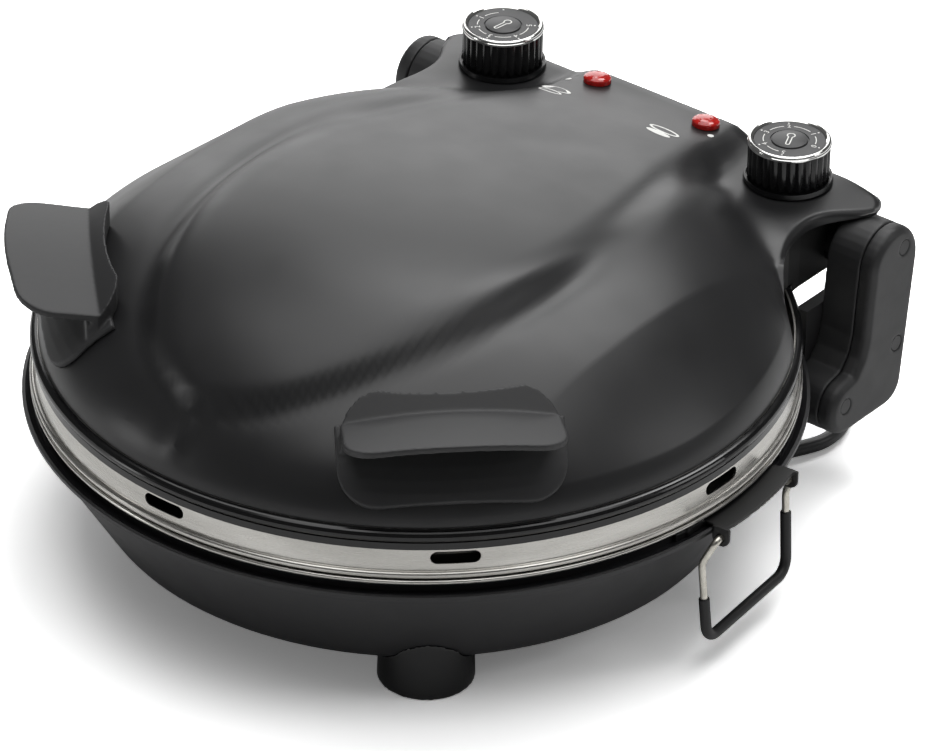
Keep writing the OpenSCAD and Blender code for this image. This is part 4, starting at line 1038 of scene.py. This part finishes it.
class PIZZA_OT_bails(bpy.types.Operator):
    """Makes the two wire bails with their sleeves"""

    bl_idname = "pizza.bails"
    bl_label = "Wire bails"

    def execute(self, context):
        wire_r, sleeve_r = 1.6, 2.4
        pin_out = EAR_GAP / 2 + EAR_T + 0.5
        leg = pin_out + 2.6
        # Each corner: how far out, how far along, how far down, and the bend's radius.
        half = [
            (0, EAR_GAP / 2 - 2, 0, 0), (0, leg, 0, 3),
            (-5.2, leg + 2.5, 11.5, 9), (-2.2, leg + 0.8, BAIL_DROP, 7.5),
        ]
        turn = Matrix.Rotation(math.radians(BAIL_TURN), 4, "Z")

        def corner(i, s):
            out, along, down, _ = half[i]
            return Vector((BAIL_R + out, s * along, BAIL_Z - down))

        def swept(name, corners, bends, radius):
            return tube_mesh(name, [turn @ p for p in bent(corners, bends, 10)], radius, 24)

        whole = [corner(i, -1) for i in range(4)] + [corner(i, 1) for i in (3, 2, 1, 0)]
        bends = [half[i][3] for i in (0, 1, 2, 3, 3, 2, 1, 0)]
        grip = [corner(2, -1).lerp(corner(3, -1), 0.45), corner(3, -1), corner(3, 1),
                corner(2, 1).lerp(corner(3, 1), 0.25)]
        wire = swept("bail_loop_right", whole, bends, wire_r)
        sleeve = swept("bail_grip_right", grip, [0, 7.5, 7.5, 0], sleeve_r)
        bevelled(sleeve, 0.5, 3, 60)
        pairs = ((wire, "bail_wire", "steel_wire"), (sleeve, "bail_sleeve", "rubber_black"))
        for piece, node, finish in pairs:
            left = mirrored(piece, piece.name.replace("right", "left"))
            settle(piece, "bail_right", finish, stands_for=(node + "_right",), angle=50)
            settle(left, "bail_left", finish, stands_for=(node + "_left",), angle=50)
        for side in ("right", "left"):
            softened("bail_ear_" + side, "bail_bracket_" + side, "base", "frame_black", 0.4, 3)
        return {"FINISHED"}


# ------------------------------------------------------------------ knobs and marks

KNOB_R = 18.5
FLUTES = 28


def knob_middle(side):
    """A knob's middle in millimetres about the bowl's axis, and its lowest and highest height."""
    low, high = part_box("knob_" + side)
    return (low[0] + high[0]) / 2 / MM, (low[1] + high[1]) / 2 / MM - AXIS_Y, low[2] / MM, high[2] / MM


def flat_mark(name, outline, low, rise=0.06):
    """A thin printed patch with the given outline."""
    return extruded(name, outline, low, low + rise)


def joined(name, pieces):
    """Joins loose patches into one printed mark."""
    clear_selection()
    for piece in pieces:
        piece.select_set(True)
    bpy.context.view_layer.objects.active = pieces[0]
    bpy.ops.object.join()
    pieces[0].name = pieces[0].data.name = name
    return pieces[0]


def numeral(text, x, y, z, turn, size):
    """A plain number, its foot towards the dial's middle."""
    clear_selection()
    bpy.ops.object.text_add(location=(0, 0, 0))
    made = bpy.context.object
    made.data.body = text
    made.data.size = size * MM
    made.data.align_x = "CENTER"
    made.data.align_y = "CENTER"
    made.data.extrude = 0.03 * MM
    made.location = (x * MM, (y + AXIS_Y) * MM, (z + 0.03) * MM)
    made.rotation_euler = (0, 0, math.radians(turn - 90))
    bpy.ops.object.convert(target="MESH")
    mesh = bpy.context.object
    outward(mesh)
    apply_place(mesh)
    return mesh


def band(cx, cy, r, wide, first, last, steps=16):
    """Outline of a curved stroke."""
    return arc(cx, cy, r + wide / 2, first, last, steps) + arc(cx, cy, r - wide / 2, last, first, steps)


def dial_print(side, cx, cy, z, places, head):
    """Numbers, dots, arcs between them and a thermometer drawn with plain strokes."""
    parts = []
    number_r, dot_r = 11.6, 14.3
    for text, turn in places:
        c, s = math.cos(math.radians(turn)), math.sin(math.radians(turn))
        if text:
            parts.append(numeral(text, cx + number_r * c, cy + number_r * s, z, turn, 3.6))
        parts.append(flat_mark("dot", arc(cx + dot_r * c, cy + dot_r * s, 0.42, 0, 345, 23), z))
    for (_, first), (_, last) in zip(places, places[1:]):
        parts.append(flat_mark("stroke", band(cx, cy, number_r, 0.42, first + 11, last - 11), z))
    c, s = math.cos(math.radians(head)), math.sin(math.radians(head))
    bulb = (cx + 3.0 * c, cy + 3.0 * s)
    parts.append(flat_mark("bulb", band(bulb[0], bulb[1], 1.7, 0.55, head - 150, head + 150), z + 0.4))
    for k in (-0.85, 0.85):
        near = (bulb[0] - 1.5 * c - k * s, bulb[1] - 1.5 * s + k * c)
        far = (cx - 4.4 * c - k * s, cy - 4.4 * s + k * c)
        wide = 0.27
        parts.append(flat_mark("stem", [
            (near[0] - wide * s, near[1] + wide * c), (far[0] - wide * s, far[1] + wide * c),
            (far[0] + wide * s, far[1] - wide * c), (near[0] + wide * s, near[1] - wide * c),
        ], z + 0.4))
    end = (cx - 4.4 * c, cy - 4.4 * s)
    parts.append(flat_mark("end", band(end[0], end[1], 0.85, 0.55, head + 90, head + 270), z + 0.4))
    mark = joined("dial_print_" + side, parts)
    settle(mark, "knob_" + side, "ink_white", angle=30)


class PIZZA_OT_knobs(bpy.types.Operator):
    """Makes the two thermostat knobs with ring, dial and print"""

    bl_idname = "pizza.knobs"
    bl_label = "Thermostat knobs"

    def execute(self, context):
        dials = {
            "right": ([("0", 9.6), ("1", 64.6), ("2", 128), ("3", 185.6), ("4", 238.6), ("5", 292.6)], 114),
            "left": ([("", 128), ("1", 184), ("2", 229), ("3", 279), ("4", 338), ("5", 398)], 84),
        }
        for side, (places, head) in dials.items():
            cx, cy, low, high = knob_middle(side)
            outline = []
            per = 12
            for i in range(FLUTES * per):
                a = 2 * math.pi * i / (FLUTES * per)
                wave = 0.5 + 0.5 * math.cos(a * FLUTES)
                r = KNOB_R - 0.35 - 0.85 * (1 - wave**0.6)
                outline.append((cx + r * math.cos(a), cy + r * math.sin(a)))
            body = extruded("knob_body_" + side, outline, low, high)
            bevelled(body, 0.35, 2, 60)
            settle(body, "knob_" + side, "knob_black", stands_for=("knob_" + side,), angle=50)
            ring_r = KNOB_R - 2.6
            ring = spun("chrome_ring_" + side, [(ring_r, high), (KNOB_R - 0.1, high), (KNOB_R, high + 0.3),
                        (KNOB_R, high + 0.9), (KNOB_R - 0.35, high + 1.2)]
                        + arc(KNOB_R - 1.3, high + 1.3, 1.1, 0, 100, 8)
                        + [(ring_r + 0.5, high + 1.9), (ring_r, high + 1.5)], 128, (cx, cy))
            settle(ring, "knob_" + side, "chrome_ring", stands_for=("knob_ring_" + side,), angle=35)
            z = high + 1.4
            disc = spun("dial_disc_" + side, [(0.0, high), (ring_r - 0.1, high), (ring_r - 0.1, z - 0.2),
                        (ring_r - 0.3, z), (8.7, z), (8.6, z - 0.5), (8.0, z - 0.5), (7.9, z + 0.3),
                        (7.75, z + 0.4), (0.0, z + 0.4)], 96, (cx, cy), closed=False)
            settle(disc, "knob_" + side, "dial_grey", stands_for=("knob_dial_" + side,), angle=35)
            dial_print(side, cx, cy, z, places, head)
        return {"FINISHED"}


class PIZZA_OT_marks(bpy.types.Operator):
    """Makes the plain printed marks on the lid"""

    bl_idname = "pizza.marks"
    bl_label = "Lid marks"

    def on_lid(self, name, outline, rise, inner=()):
        """A printed patch that follows the lid's surface; an inner outline makes it a ring."""
        points = outline + list(inner)
        low = [(x, y, PART_Z + lid_surface(x, y) - 0.1) for x, y in points]
        top = [(x, y, PART_Z + lid_surface(x, y) + rise) for x, y in points]
        n, whole = len(outline), len(points)
        if inner:
            faces = []
            for j in range(n):
                m = (j + 1) % n
                faces += [
                    (whole + j, whole + m, whole + n + m, whole + n + j), (j, n + j, n + m, m),
                    (j, m, whole + m, whole + j), (n + j, whole + n + j, whole + n + m, n + m),
                ]
        else:
            faces = [tuple(reversed(range(n))), tuple(range(n, 2 * n))]
            faces += [(k, (k + 1) % n, n + (k + 1) % n, n + k) for k in range(n)]
        mark = from_points(name, low + top, faces)
        outward(mark)
        return settle(mark, "lid", "ink_white", angle=30)

    def execute(self, context):
        rise = context.scene.oven_sizes.print_height / MM
        for name, x, y in (("index_left", -41.7, 156.9), ("index_right", 38.5, 156.3)):
            self.on_lid(name, arc(x, y, 1.45, 0, 345, 23), rise)
        wide, corners = 8.0, 48
        for side, x, y in (("left", -36.0, 138.6), ("right", 24.0, 139.4)):
            for k, (shift, r, share) in enumerate(((2.2, wide, 0.34), (-2.4, wide * 0.8, 0.3))):
                disc = []
                for i in range(corners):
                    a = 2 * math.pi * i / corners
                    disc.append((x + r * math.cos(a), y + shift + r * share * math.sin(a)))
                inner = [(x + (px - x) * 0.82, y + shift + (py - y - shift) * 0.62) for px, py in disc]
                solid = (side == "left") == (k == 0)
                self.on_lid(f"heat_mark_{side}_{k}", disc, rise, () if solid else inner)
        return {"FINISHED"}


# ------------------------------------------------------------------ panel and running


STEPS = [
    PIZZA_OT_stage,
    PIZZA_OT_cord,
    PIZZA_OT_dome,
    PIZZA_OT_handles,
    PIZZA_OT_arms,
    PIZZA_OT_feet,
    PIZZA_OT_bails,
    PIZZA_OT_knobs,
    PIZZA_OT_marks,
]


class PIZZA_PT_panel(bpy.types.Panel):
    """Lists the pieces of the pizza maker"""

    bl_idname = "PIZZA_PT_panel"
    bl_label = "Pizza maker"
    bl_space_type = "VIEW_3D"
    bl_region_type = "UI"
    bl_category = "Pizza maker"

    def draw(self, context):
        sizes, colours = context.scene.oven_sizes, context.scene.oven_colours
        for group in (sizes, colours):
            for name in group.__annotations__:
                self.layout.prop(group, name)
        for step in STEPS:
            self.layout.operator(step.bl_idname)


CLASSES = [OvenSizes, OvenColours, *STEPS, PIZZA_PT_panel]


def register():
    for kind in CLASSES:
        bpy.utils.register_class(kind)
    bpy.types.Scene.oven_sizes = bpy.props.PointerProperty(type=OvenSizes)
    bpy.types.Scene.oven_colours = bpy.props.PointerProperty(type=OvenColours)


def unregister():
    del bpy.types.Scene.oven_colours
    del bpy.types.Scene.oven_sizes
    for kind in reversed(CLASSES):
        bpy.utils.unregister_class(kind)


NODE_FINISH = {
    "base_bowl": "bowl_black",
    "lid_rim": "rim_black",
    "hinge_bracket_right": "plastic_black",
    "hinge_bracket_left": "plastic_black",
}


def main():
    register()
    make_finishes()
    slots = {s["node"]: s["material_slot"] for s in frame["record"]["subparts"]}
    for name, obj in NODES.items():
        dress(obj, NODE_FINISH.get(name, slots[name]))
    for step in STEPS:
        area, call = step.bl_idname.split(".")
        getattr(getattr(bpy.ops, area), call)()


if __name__ == "__main__":
    main()
